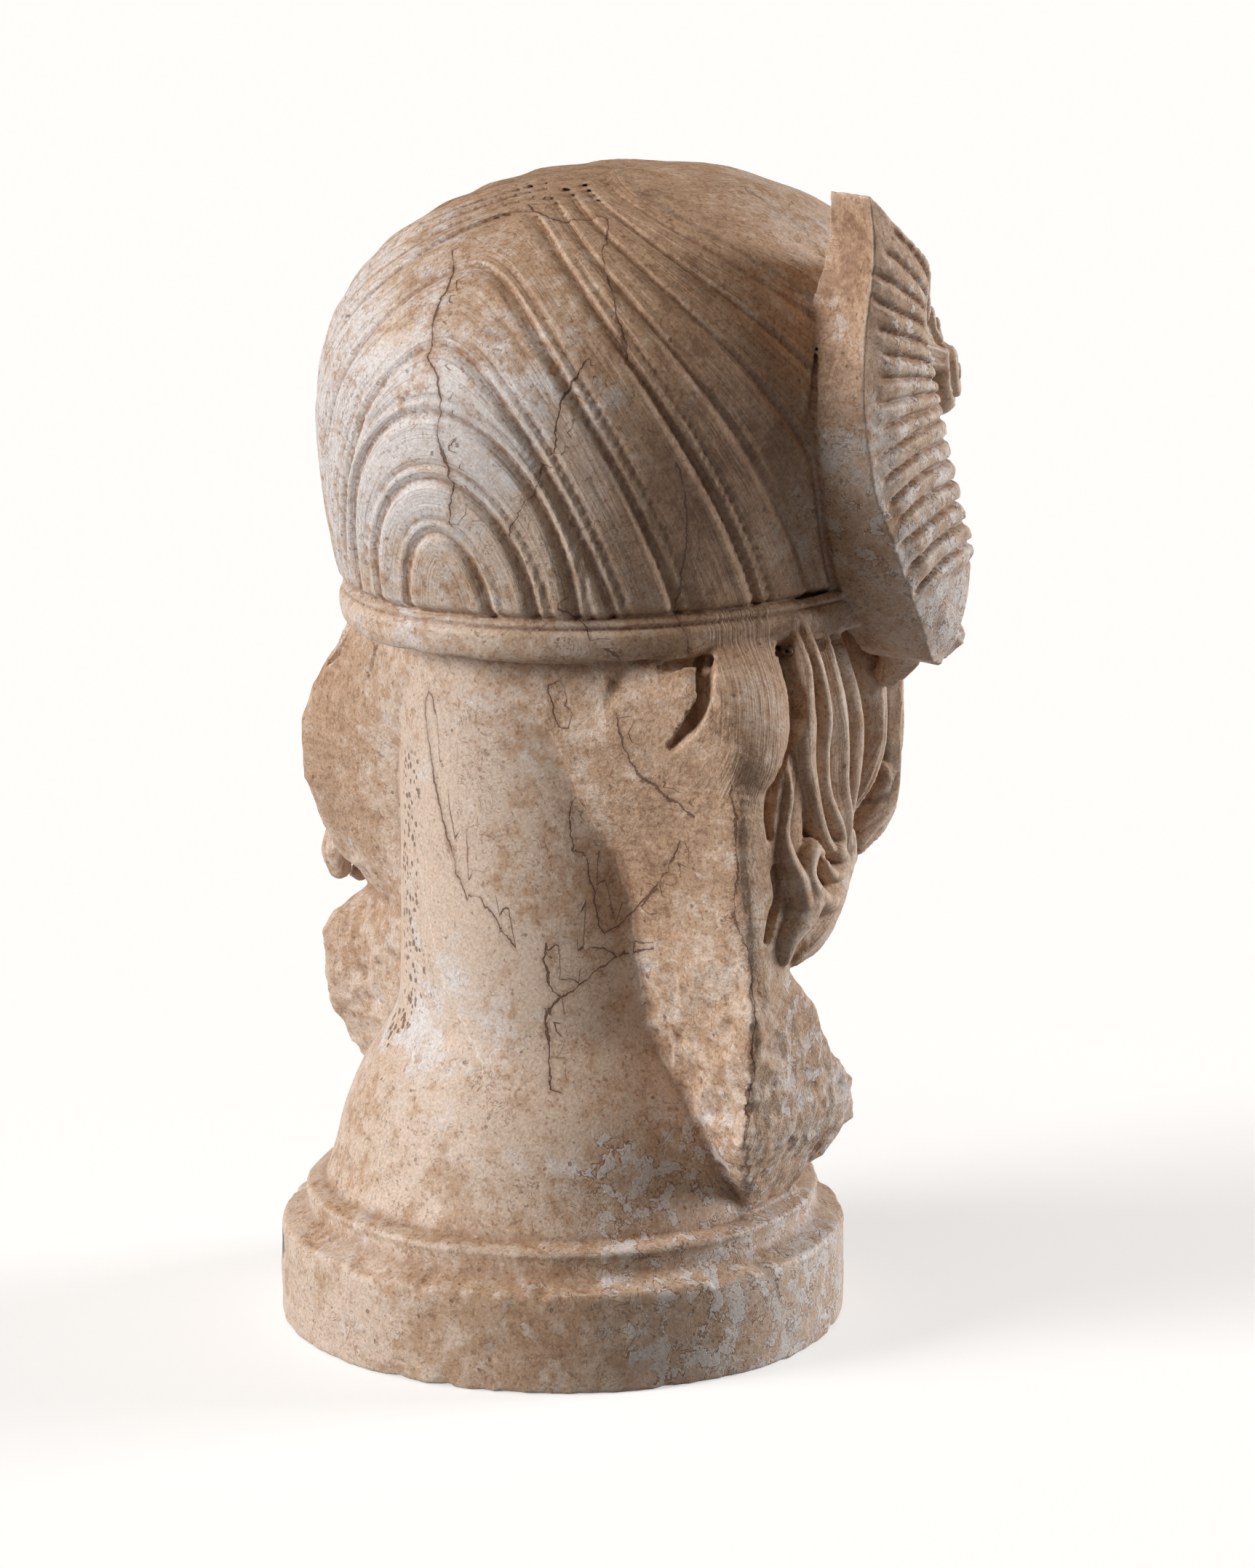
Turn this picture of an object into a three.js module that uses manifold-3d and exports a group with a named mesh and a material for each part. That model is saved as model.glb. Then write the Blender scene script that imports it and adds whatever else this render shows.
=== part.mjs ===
// Marble head of a horned, bearded god on a round moulded plinth, carved from one block.
// Millimetres, +Z up. The face looks along -Y, the head's own right side is at -X,
// and the origin is the middle of the plinth's underside.
import * as THREE from 'three';
import { mergeVertices } from 'three/addons/utils/BufferGeometryUtils.js';
import Module from 'manifold-3d';

const wasm = await Module();
wasm.setup();

// Places are given as side (towards one ear), front (towards the face) and up.
const RIGHT = -1;
const LEFT = 1;

// Plinth drum, ring moulding and neck, all turned about the upright axis.
const plinth = { radius: 115.5, height: 42, edge: 1.5, shoulder: 107, sides: 36 };
const ring = { radius: 105, foot: 45.5, top: 56, round: 4 };
const neck = { foot: 97, waist: 65.5, flareTop: 132, top: 284 };

// Hair cap: an ellipsoid, steeper below its widest line than above it.
const skull = { side: 112.5, depth: 141.5, rise: 93, fall: 184, front: 42, up: 376, base: 290, floor: 264 };
const capSides = 32;
const capRows = { below: 3, above: 7 };
const band = {
  side: 102.5, depth: 129.5, front: 46.5, up: 297.5,
  height: 17, thick: 9, reach: 100, rows: 18,
};

// Grooves between the combed locks of the cap: nested arches about the nape.
const groove = { width: 4.6, depth: 2.6, middle: 7, foot: 301 };
const arches = [
  { spread: 10.5, top: 340 },
  { spread: 20, top: 361 },
  { spread: 28, top: 387 },
  { spread: 36, top: 412 },
  { spread: 49, top: 440 },
  { spread: 66, top: 457 },
  { spread: 97, top: 464 },
  { spread: 142, top: 467.5 },
];

// Horn: stations along its middle line, with its half widths to the back and to the front,
// and how far its seam on the head lies beyond the back half width.
const horn = { ribs: 12, ribDepth: 3, firstRib: 0.22, lastRib: 0.8, rootRows: 5, tipRows: 4, bury: 34 };
const hornStations = [
  { front: 118, up: 398, out: 90, back: 14, fore: 12, seam: -6 },
  { front: 105, up: 403, out: 101, back: 17, fore: 17, seam: -8 },
  { front: 88, up: 411, out: 110, back: 21, fore: 20, seam: -8 },
  { front: 73, up: 415, out: 120, back: 32, fore: 22, seam: -12 },
  { front: 65, up: 413, out: 128, back: 60, fore: 22, seam: -14 },
  { front: 59, up: 404, out: 130, back: 35, fore: 24, seam: 6 },
  { front: 55, up: 382, out: 131, back: 27, fore: 27, seam: 13 },
  { front: 60, up: 354, out: 131, back: 26, fore: 30, seam: 14 },
  { front: 71, up: 328, out: 131, back: 25, fore: 33, seam: 12 },
  { front: 84, up: 305, out: 130, back: 25, fore: 30, seam: 10 },
  { front: 97, up: 290, out: 127, back: 19, fore: 20, seam: 8 },
  { front: 107, up: 283, out: 117, back: 8, fore: 8, seam: 3 },
];
// The far horn has lost its upper back corner along this sloping break.
const farBreak = { low: [0, 394], high: [110, 446], top: 520, outer: 160 };

// Outline of the hair below the horns, from the back corner forwards.
const bellOutline = [[115, -14], [118, 2], [114, 28], [106, 50], [94, 66], [76, 76], [50, 80], [0, 80]];
const bellHeart = { side: 0, front: 30 };
const bellLevels = [
  { up: 292, swell: -26 },
  { up: 276, swell: -13 },
  { up: 260, swell: -4 },
  { up: 245, swell: 0 },
  { up: 215, swell: 0 },
  { up: 190, swell: -2 },
  { up: 178, swell: -7 },
  { up: 168, swell: -18 },
  { up: 160, swell: -40 },
];

// Beard: half width and forward reach by height.
const beard = { heart: 98, sides: 14 };
const beardLevels = [
  { up: 300, wide: 58, reach: 138 },
  { up: 282, wide: 66, reach: 156 },
  { up: 262, wide: 74, reach: 166 },
  { up: 240, wide: 77, reach: 170 },
  { up: 216, wide: 76, reach: 172 },
  { up: 196, wide: 71, reach: 171 },
  { up: 180, wide: 66, reach: 169 },
  { up: 164, wide: 57, reach: 164 },
  { up: 150, wide: 45, reach: 156 },
  { up: 141, wide: 26, reach: 142 },
];

// Broken masses of hair beside the neck, four corners a level:
// inner back, outer back, outer front, inner front.
const nearMass = [
  { up: 290, corners: [[-4, -64], [84, -33], [92, 16], [50, 30]] },
  { up: 276, corners: [[10, -62], [100, -39], [110, 16], [50, 30]] },
  { up: 256, corners: [[38, -55], [116, -36], [117, 10], [50, 30]] },
  { up: 230, corners: [[46, -47], [118, -35], [117, 8], [50, 30]] },
  { up: 204, corners: [[56, -34], [118, -34], [118, 8], [50, 30]] },
  { up: 178, corners: [[59, -28], [119, -30], [117, 8], [50, 30]] },
  { up: 160, corners: [[61, -26], [119, -28], [113, 5], [50, 30]] },
  { up: 142, corners: [[62, -22], [119, -28], [112, 24], [50, 40]] },
  { up: 122, corners: [[64, -18], [119, -30], [109, 37], [50, 50]] },
  { up: 101, corners: [[70, -13], [118, -31], [105, 54], [55, 60]] },
  { up: 86, corners: [[76, -10], [110, -23], [104, 57], [55, 60]] },
  { up: 72, corners: [[78, -7], [102, -10], [98, 47], [55, 55]] },
  { up: 60, corners: [[76, -2], [94, -2], [90, 36], [55, 50]] },
];
const farMass = [
  { up: 290, corners: [[30, -54], [80, -24], [88, 16], [50, 30]] },
  { up: 272, corners: [[36, -54], [98, -25], [106, 18], [50, 30]] },
  { up: 252, corners: [[44, -50], [113, -26], [116, 14], [50, 30]] },
  { up: 236, corners: [[50, -44], [117, -28], [117, 14], [50, 30]] },
  { up: 212, corners: [[54, -38], [117, -28], [116, 16], [50, 30]] },
  { up: 190, corners: [[57, -34], [114, -24], [114, 16], [50, 30]] },
  { up: 178, corners: [[58, -31], [110, -20], [110, 16], [50, 30]] },
  { up: 165, corners: [[59, -28], [105, -6], [106, 20], [50, 32]] },
  { up: 154, corners: [[60, -27], [112, -13], [110, 26], [50, 36]] },
  { up: 143, corners: [[60, -26], [115, -18], [112, 34], [50, 40]] },
  { up: 127, corners: [[62, -24], [114, -16], [110, 42], [50, 45]] },
  { up: 109, corners: [[66, -20], [111, -13], [108, 46], [52, 50]] },
  { up: 92, corners: [[74, -12], [104, -8], [100, 46], [54, 52]] },
  { up: 76, corners: [[76, -6], [88, 6], [88, 40], [54, 50]] },
];

// Locks on the hair: places along its outline run from 0, the back corner, to 1, behind the beard.
const strands = {
  count: 3, first: 0.17, last: 0.43,
  gatherFirst: 0.26, gatherLast: 0.38, top: 294, foot: 212,
};
const strand = { width: 8, lift: 6, rows: 5 };
// The tip of hair that shows under the horn.
const hornTuft = { points: [[108, 82, 292], [100, 104, 278], [88, 118, 260]], radius: 12 };
const spiral = { along: 0.31, up: 202, radius: 9, turns: 1.25, width: 5 };
const cornerLocks = [
  { points: [[0, 288], [0.02, 274], [0.05, 262], [0.07, 246]], width: 13, lift: 7 },
  { points: [[0.05, 250], [0.1, 230], [0.06, 208], [0.13, 190], [0.1, 168]], width: 9, lift: 7 },
  { points: [[0.22, 206], [0.2, 190], [0.24, 176], [0.2, 166]], width: 9, lift: 7 },
];
// Locks on the beard, their places given as degrees round from the middle of the chin.
const beardLocks = {
  count: 4, first: 9, last: 82, top: 268, foot: 150,
  step: 9, width: 12, lift: 8, sway: 8,
};

// Face: hairline to brow, brow to nose and nose to chin are equal thirds.
const face = { third: 70, chin: 205, heart: 84, nape: 44, steps: 12 };
const eye = { side: 31, front: 157, up: 332, wide: 15, deep: 15, tall: 11 };
const browLine = face.chin + 2 * face.third;
const noseLine = face.chin + face.third;
const mouthLine = noseLine - face.third / 3;
const faceLevels = [
  { up: 196, wide: 40, reach: 146 },
  { up: 222, wide: 52, reach: 164 },
  { up: 250, wide: 62, reach: 170 },
  { up: 275, wide: 67, reach: 172 },
  { up: 300, wide: 71, reach: 173 },
  { up: 328, wide: 73, reach: 173 },
  { up: 348, wide: 76, reach: 180 },
  { up: 372, wide: 78, reach: 180 },
  { up: 400, wide: 76, reach: 174 },
  { up: 424, wide: 64, reach: 158 },
];

// Nose from bridge to base: half width and forward reach, over a buried back edge.
const noseBack = 160;
const noseStations = [
  { up: browLine + 2, wide: 9, reach: 180 },
  { up: browLine - 14, wide: 7.5, reach: 184 },
  { up: noseLine + 24, wide: 10, reach: 193 },
  { up: noseLine + 10, wide: 16, reach: 200 },
  { up: noseLine + 3, wide: 17, reach: 200 },
  { up: noseLine - 1, wide: 13, reach: 193 },
];

// Curls that frame the face, from the cheek up to the middle of the forehead.
const browCurls = [
  { root: [72, 88, 338], belly: [79, 108, 318], tip: [73, 120, 294], width: 14 },
  { root: [75, 90, 370], belly: [83, 112, 352], tip: [77, 124, 328], width: 14 },
  { root: [86, 98, 396], belly: [92, 128, 382], tip: [86, 136, 362], width: 15 },
  { root: [78, 100, 412], belly: [85, 122, 405], tip: [82, 136, 386], width: 13.5 },
  { root: [60, 116, 424], belly: [66, 140, 417], tip: [66, 158, 396], width: 13.5 },
  { root: [38, 130, 431], belly: [42, 158, 423], tip: [44, 174, 400], width: 13.5 },
  { root: [13, 140, 434], belly: [15, 168, 427], tip: [18, 182, 402], width: 13.5 },
];

function place(hand, side, front, up) {
  return new THREE.Vector3(hand * side, -front, up);
}

function between(levels, up, key) {
  const high = levels.findIndex((level) => level.up <= up);
  if (high === 0) return levels[0][key];
  if (high < 0) return levels[levels.length - 1][key];
  const a = levels[high - 1];
  const b = levels[high];
  return THREE.MathUtils.lerp(a[key], b[key], (a.up - up) / (a.up - b.up));
}

// A closed skin over rings of points, each end closed by a fan.
function loft(rings) {
  const count = rings[0].length;
  const ends = [rings[0], rings[rings.length - 1]];
  const middles = ends.map((end) => {
    const middle = new THREE.Vector3();
    end.forEach((point) => middle.addScaledVector(point, 1 / count));
    return middle;
  });
  const points = [...rings.flat(), ...middles];
  const last = rings.length - 1;
  const index = [];
  for (let row = 0; row < last; row++) {
    for (let i = 0; i < count; i++) {
      const a = row * count + i;
      const b = row * count + ((i + 1) % count);
      index.push(a, b, a + count, b, b + count, a + count);
    }
  }
  for (let i = 0; i < count; i++) {
    const next = (i + 1) % count;
    index.push(rings.length * count, next, i);
    index.push(rings.length * count + 1, last * count + i, last * count + next);
  }
  const geometry = new THREE.BufferGeometry().setFromPoints(points);
  geometry.setIndex(index);
  return geometry;
}

// A tapering limb along a curve: an oval section with its broad side facing away from the heart.
function limb(curve, widthAt, thickAt, outward, sides, rows) {
  const rings = [];
  for (let row = 0; row <= rows; row++) {
    const t = row / rows;
    const middle = curve.getPoint(t);
    const along = curve.getTangent(t);
    const across = new THREE.Vector3().crossVectors(along, outward(middle)).normalize();
    const off = new THREE.Vector3().crossVectors(across, along).normalize();
    const points = [];
    for (let i = 0; i < sides; i++) {
      const angle = (2 * Math.PI * i) / sides;
      const point = middle.clone();
      point.addScaledVector(across, widthAt(t) * Math.cos(angle));
      point.addScaledVector(off, thickAt(t) * Math.sin(angle));
      points.push(point);
    }
    rings.push(points);
  }
  return loft(rings);
}

function signedVolume(vertices, triangles) {
  const corner = [new THREE.Vector3(), new THREE.Vector3(), new THREE.Vector3()];
  let sum = 0;
  for (let i = 0; i < triangles.length; i += 3) {
    corner.forEach((point, k) => point.fromArray(vertices, 3 * triangles[i + k]));
    sum += corner[0].dot(corner[1].clone().cross(corner[2])) / 6;
  }
  return sum;
}

// A closed solid from a geometry, its shared vertices merged and its faces turned outwards.
function solid(geometry) {
  geometry.deleteAttribute('normal');
  geometry.deleteAttribute('uv');
  const merged = mergeVertices(geometry, 1e-3);
  const vertices = merged.attributes.position.array;
  const triangles = [];
  for (let i = 0; i < merged.index.count; i += 3) {
    const [a, b, c] = [0, 1, 2].map((k) => merged.index.getX(i + k));
    if (a !== b && b !== c && c !== a) triangles.push(a, b, c);
  }
  if (signedVolume(vertices, triangles) < 0) triangles.reverse();
  const mesh = new wasm.Mesh({
    numProp: 3,
    vertProperties: new Float32Array(vertices),
    triVerts: new Uint32Array(triangles),
  });
  return new wasm.Manifold(mesh);
}

function turned(profile, sides) {
  return new THREE.LatheGeometry(profile, sides).rotateX(Math.PI / 2);
}

// Neck, ring moulding and drum, read from the axis under the drum to the axis inside the head.
function plinthAndNeck() {
  const flare = new THREE.SplineCurve([
    new THREE.Vector2(neck.foot, ring.top + 1),
    new THREE.Vector2(92.6, 72),
    new THREE.Vector2(88.5, 88),
    new THREE.Vector2(82, 104),
    new THREE.Vector2(73.5, 118),
    new THREE.Vector2(neck.waist + 1.2, neck.flareTop),
    new THREE.Vector2(neck.waist, neck.flareTop + 22),
    new THREE.Vector2(neck.waist - 1.5, neck.top),
  ]);
  const profile = [
    new THREE.Vector2(0, 0),
    new THREE.Vector2(plinth.radius - plinth.edge, 0),
    new THREE.Vector2(plinth.radius, plinth.edge),
    new THREE.Vector2(plinth.radius, plinth.height - 2 * plinth.edge),
    new THREE.Vector2(plinth.radius - plinth.edge, plinth.height - plinth.edge),
    new THREE.Vector2(plinth.shoulder, ring.foot - 1),
    new THREE.Vector2(ring.radius, ring.foot),
    new THREE.Vector2(ring.radius - 1, (ring.foot + ring.top) / 2),
    new THREE.Vector2(ring.radius, ring.top - ring.round),
    new THREE.Vector2(ring.radius - ring.round, ring.top),
    ...flare.getPoints(7),
    new THREE.Vector2(0, neck.top),
  ];
  return solid(turned(profile, plinth.sides));
}

function skullScale(up) {
  const reach = up > skull.up ? skull.rise : skull.fall;
  return Math.sqrt(Math.max(0, 1 - ((up - skull.up) / reach) ** 2));
}

// A point on the hair cap, by its bearing from the nape in degrees (positive towards the head's right).
function skullPoint(bearing, up, off = 0) {
  const angle = THREE.MathUtils.degToRad(bearing);
  const scale = skullScale(up);
  const side = (skull.side + off) * scale * Math.sin(angle);
  const front = skull.front - (skull.depth + off) * scale * Math.cos(angle);
  const lift = up > skull.up ? (off * (up - skull.up)) / skull.rise : 0;
  return place(RIGHT, side, front, up + lift);
}

// How far up the cap's skin a height lies, in radians above its widest line, and back again.
function climbAt(up) {
  const share = (up - skull.up) / skull.rise;
  return share > 0 ? Math.asin(Math.min(1, share)) : share;
}

function heightAt(climb) {
  return skull.up + skull.rise * (climb > 0 ? Math.sin(climb) : climb);
}

function hairCap() {
  const profile = [new THREE.Vector2(0, skull.floor)];
  profile.push(new THREE.Vector2(0.5, skull.floor + 4));
  profile.push(new THREE.Vector2(skullScale(skull.base) - 0.03, skull.base - 8));
  for (let row = 0; row <= capRows.below; row++) {
    const up = THREE.MathUtils.lerp(skull.base, skull.up, row / capRows.below);
    profile.push(new THREE.Vector2(skullScale(up), up));
  }
  for (let row = 1; row <= capRows.above; row++) {
    const angle = (Math.PI / 2) * (row / capRows.above);
    profile.push(new THREE.Vector2(Math.cos(angle), skull.up + skull.rise * Math.sin(angle)));
  }
  profile[profile.length - 1].x = 0;
  const geometry = turned(profile, capSides);
  geometry.scale(skull.side, skull.depth, 1);
  geometry.translate(0, -skull.front, 0);
  const faceRoom = new THREE.BoxGeometry(2 * skull.side, skull.depth, browLine);
  faceRoom.translate(0, -face.heart - skull.depth / 2, browLine / 2);
  return solid(geometry).subtract(solid(faceRoom));
}

// One groove: a wedge swept along its arch, open towards the outside. Wide arches have steeper sides.
function grooveCutter(arch) {
  const narrow = arch.spread < 30;
  const rows = narrow ? 7 : 12;
  const edge = 0.012 * Math.PI;
  const steep = narrow ? 1 : 1.45 + 0.0085 * arch.spread;
  const foot = climbAt(groove.foot);
  const top = climbAt(arch.top);
  const middleAt = (row) => {
    const angle = THREE.MathUtils.lerp(edge, Math.PI - edge, row / rows);
    const out = Math.sign(Math.cos(angle)) * Math.abs(Math.cos(angle)) ** (narrow ? 1 : 1.12);
    const rise = Math.max(0, Math.sin(angle)) ** steep;
    return [groove.middle + arch.spread * out, heightAt(foot + (top - foot) * rise)];
  };
  const rings = [];
  for (let row = 0; row <= rows; row++) {
    const inner = skullPoint(...middleAt(row), -groove.depth);
    const outer = skullPoint(...middleAt(row), groove.depth);
    const along = skullPoint(...middleAt(row + 0.5)).sub(skullPoint(...middleAt(row - 0.5)));
    const across = along.cross(outer.clone().sub(inner)).normalize();
    const left = outer.clone().addScaledVector(across, groove.width);
    const right = outer.clone().addScaledVector(across, -groove.width);
    rings.push([inner, left, right]);
  }
  return solid(loft(rings));
}

function headBand() {
  const section = [[-1, 0], [-0.3, -1], [0.7, -0.75], [0.95, 0], [0.7, 0.75], [-0.3, 1]];
  const rings = [];
  for (let row = 0; row <= band.rows; row++) {
    const angle = THREE.MathUtils.degToRad(THREE.MathUtils.lerp(-band.reach, band.reach, row / band.rows));
    rings.push(section.map(([out, up]) => {
      const off = (out * band.thick) / 2;
      const front = band.front - (band.depth + off) * Math.cos(angle);
      return place(RIGHT, (band.side + off) * Math.sin(angle), front, band.up + (up * band.height) / 2);
    }));
  }
  return solid(loft(rings));
}

function hornCurve(key) {
  const points = hornStations.map((station, i) => new THREE.Vector2(i, station[key]));
  const spline = new THREE.SplineCurve(points);
  return (t) => spline.getPoint(t).y;
}

// Ram's horn beside the temple: a plain back face, a sharp ridge and a ribbed outer face.
function ramsHorn(hand) {
  const read = {};
  for (const key of ['front', 'up', 'out', 'back', 'fore', 'seam']) read[key] = hornCurve(key);
  const stops = [];
  for (let i = 0; i < horn.rootRows; i++) stops.push((horn.firstRib * i) / horn.rootRows);
  for (let i = 0; i <= 2 * horn.ribs; i++) {
    stops.push(THREE.MathUtils.lerp(horn.firstRib, horn.lastRib, i / (2 * horn.ribs)));
  }
  for (let i = 1; i <= horn.tipRows; i++) stops.push(THREE.MathUtils.lerp(horn.lastRib, 1, i / horn.tipRows));
  const step = 0.01;
  const rings = [];
  for (const t of stops) {
    const ahead = Math.min(1, t + step);
    const behind = Math.max(0, t - step);
    const run = read.front(ahead) - read.front(behind);
    const climb = read.up(ahead) - read.up(behind);
    const length = Math.hypot(run, climb);
    const share = (t - horn.firstRib) / (horn.lastRib - horn.firstRib);
    const ribbed = share > 0 && share < 1;
    const cut = ribbed ? horn.ribDepth * (0.5 - 0.5 * Math.cos(2 * Math.PI * share * horn.ribs)) : 0;
    const back = read.back(t);
    const fore = read.fore(t);
    const seam = read.seam(t);
    const section = [
      [back + seam, -horn.bury],
      [back + seam * 0.5, -13],
      [back, 0],
      [back * 0.45, 2.5 - cut * 0.8],
      [-fore * 0.6, 0 - cut],
      [-fore, -9 - cut * 0.5],
      [-fore, -horn.bury],
    ];
    rings.push(section.map(([toBack, off]) => place(
      hand,
      read.out(t) + off,
      read.front(t) + (toBack * climb) / length,
      read.up(t) - (toBack * run) / length,
    )));
  }
  return solid(loft(rings));
}

// Everything above the sloping break of the far horn.
function brokenCorner() {
  const { low, high, top, outer } = farBreak;
  const corners = [low, high, [high[0], top], [low[0], top]];
  return solid(loft([0, outer].map((side) => corners.map(([front, up]) => place(LEFT, side, front, up)))));
}

const bellCurve = new THREE.SplineCurve(bellOutline.map(([side, front]) => new THREE.Vector2(side, front)));

// A point on the hair below the horns, off its skin by so much.
function bellPoint(hand, along, up, off = 0) {
  const flat = bellCurve.getPoint(Math.max(0, along));
  flat.y += Math.min(0, along) * 200;
  const away = new THREE.Vector2(flat.x - bellHeart.side, flat.y - bellHeart.front).normalize();
  flat.addScaledVector(away, between(bellLevels, up, 'swell') + off);
  return place(hand, flat.x, flat.y, up);
}

function beardPoint(hand, bearing, up, off = 0) {
  const angle = THREE.MathUtils.degToRad(bearing);
  const wide = between(beardLevels, up, 'wide') + off;
  const reach = between(beardLevels, up, 'reach') - beard.heart + off;
  return place(hand, wide * Math.sin(angle), beard.heart + reach * Math.cos(angle), up);
}

function outwardFromNeck(point) {
  return new THREE.Vector3(point.x, point.y + bellHeart.front, 0).normalize();
}

function sideHair() {
  const steps = 6;
  const rings = bellLevels.map(({ up }) => {
    const half = [];
    for (let i = 0; i <= steps; i++) half.push(bellPoint(RIGHT, i / steps, up));
    const mirrored = half.slice(0, -1).reverse().map(({ x, y, z }) => new THREE.Vector3(-x, y, z));
    return [...half, ...mirrored];
  });
  return solid(loft(rings));
}

function beardBlock() {
  const rings = beardLevels.map(({ up }) => {
    const points = [];
    for (let i = 0; i < beard.sides; i++) points.push(beardPoint(RIGHT, (360 * i) / beard.sides, up));
    return points;
  });
  return solid(loft(rings));
}

// A broken mass of hair: rough faces between four corner lines.
function brokenMass(hand, levels) {
  const lines = [0, 1, 2, 3].map((k) => levels.map(({ up, corners }) => place(hand, ...corners[k], up)));
  const rings = levels.map((level, row) => {
    const points = [];
    for (let k = 0; k < 4; k++) {
      const corner = lines[k][row];
      const next = lines[(k + 1) % 4][row];
      for (const t of [0, 0.5]) {
        const rough = t > 0 ? 1.6 * Math.sin(2.6 * row + 3.7 * k + 9 * t) : 0;
        const point = corner.clone().lerp(next, t);
        points.push(point.addScaledVector(outwardFromNeck(point), rough));
      }
    }
    return points;
  });
  return solid(loft(rings));
}

function lock(points, width, lift, rows = strand.rows, sides = 4) {
  const curve = new THREE.CatmullRomCurve3(points);
  const swelling = (t) => 0.4 + 0.6 * Math.sin(Math.PI * Math.min(1, 0.2 + 0.74 * t));
  const widthAt = (t) => width * swelling(t);
  const liftAt = (t) => lift * swelling(t);
  return solid(limb(curve, widthAt, liftAt, outwardFromNeck, sides, rows));
}

// Wavy beard locks, each bending to the side.
function beardCurls(hand) {
  const parts = [];
  for (let i = 0; i < beardLocks.count; i++) {
    const bearing = THREE.MathUtils.lerp(beardLocks.first, beardLocks.last, i / (beardLocks.count - 1));
    const foot = beardLocks.foot + beardLocks.step * i;
    const points = [0, 0.25, 0.5, 0.75, 1].map((t) => {
      const up = THREE.MathUtils.lerp(beardLocks.top, foot, t);
      const bend = beardLocks.sway * Math.sin(2 * Math.PI * (t + 0.17 * i));
      return beardPoint(hand, Math.max(2, bearing + bend), up, t === 1 ? 4 : 0);
    });
    parts.push(lock(points, beardLocks.width, beardLocks.lift));
  }
  return parts;
}

// Long strands from under the horn that gather into a spiral curl.
function templeHair(hand) {
  const parts = [];
  for (let i = 0; i < strands.count; i++) {
    const share = i / (strands.count - 1);
    const start = THREE.MathUtils.lerp(strands.first, strands.last, share);
    const end = THREE.MathUtils.lerp(strands.gatherFirst, strands.gatherLast, share);
    const points = [0, 0.3, 0.6, 0.85, 1].map((t) => {
      const bend = 0.012 * Math.sin(2.4 * Math.PI * t + share);
      const along = THREE.MathUtils.lerp(start, end, t) + bend;
      return bellPoint(hand, along, THREE.MathUtils.lerp(strands.top, strands.foot, t));
    });
    parts.push(lock(points, strand.width, strand.lift));
  }
  const turns = [];
  const steps = 8;
  for (let i = 0; i <= steps; i++) {
    const angle = (2 * Math.PI * spiral.turns * i) / steps;
    const radius = spiral.radius * (1 - (0.85 * i) / steps);
    const along = spiral.along + (radius * Math.sin(angle)) / 210;
    turns.push(bellPoint(hand, along, spiral.up + radius * Math.cos(angle), 2 + (4 * i) / steps));
  }
  parts.push(lock(turns, spiral.width, spiral.width, 9));
  for (const { points, width, lift } of cornerLocks) {
    parts.push(lock(points.map(([along, up]) => bellPoint(hand, along, up)), width, lift));
  }
  return parts;
}

function faceBlock() {
  const rings = faceLevels.map(({ up, wide, reach }) => {
    const points = [];
    for (let i = 0; i < face.steps; i++) {
      const angle = (2 * Math.PI * i) / face.steps;
      const fore = Math.max(0, Math.sin(angle)) ** 0.8 * (reach - face.heart);
      const aft = Math.min(0, Math.sin(angle)) * (face.heart - face.nape);
      points.push(place(RIGHT, wide * Math.cos(angle), face.heart + fore + aft, up));
    }
    return points;
  });
  return solid(loft(rings));
}

function nose() {
  const section = [[-1, 0], [-0.95, 0.35], [-0.5, 0.8], [0, 1], [0.5, 0.8], [0.95, 0.35], [1, 0]];
  const rings = noseStations.map(({ up, wide, reach }) => section.map(
    ([side, fore]) => place(RIGHT, side * wide, noseBack + fore * (reach - noseBack), up),
  ));
  return solid(loft(rings));
}

function eyeball(hand) {
  const geometry = new THREE.SphereGeometry(1, 8, 5).scale(eye.wide, eye.deep, eye.tall);
  const centre = place(hand, eye.side, eye.front, eye.up);
  return solid(geometry.translate(centre.x, centre.y, centre.z));
}

const forward = () => new THREE.Vector3(0, -1, 0);

function ridge(hand, points, radius, rows = 5) {
  const curve = new THREE.CatmullRomCurve3(points.map(([side, front, up]) => place(hand, side, front, up)));
  const swelling = (t) => radius * (0.35 + 0.65 * Math.sin(Math.PI * t));
  return solid(limb(curve, swelling, swelling, forward, 4, rows));
}

function browAndLid(hand) {
  const brow = [
    [8, 176, browLine - 3],
    [eye.side - 4, 180, browLine + 5],
    [eye.side + 16, 171, browLine + 4],
    [62, 150, browLine - 8],
  ];
  const lid = [
    [eye.side - 17, 168, eye.up - 1],
    [eye.side - 6, 176, eye.up + 6.5],
    [eye.side + 7, 173, eye.up + 6],
    [eye.side + 19, 161, eye.up - 2],
  ];
  return [ridge(hand, brow, 7), ridge(hand, lid, 2.6)];
}

function mouth() {
  const lip = (half, reach, up, slope) => [-1, -0.38, 0.38, 1].map((share) => {
    const side = half * share;
    return [side, reach - 0.022 * side * side, up + slope * Math.abs(side)];
  });
  const upper = lip(25, 180, mouthLine + 4, -0.11);
  const lower = lip(20, 177, mouthLine - 7, 0.17);
  return [ridge(RIGHT, upper, 4.5), ridge(RIGHT, lower, 5)];
}

function moustache(hand) {
  const line = [
    [3, 178, noseLine - 7],
    [16, 180, noseLine - 13],
    [32, 172, mouthLine + 1],
    [46, 158, mouthLine - 20],
  ];
  return ridge(hand, line, 8.5);
}

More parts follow.
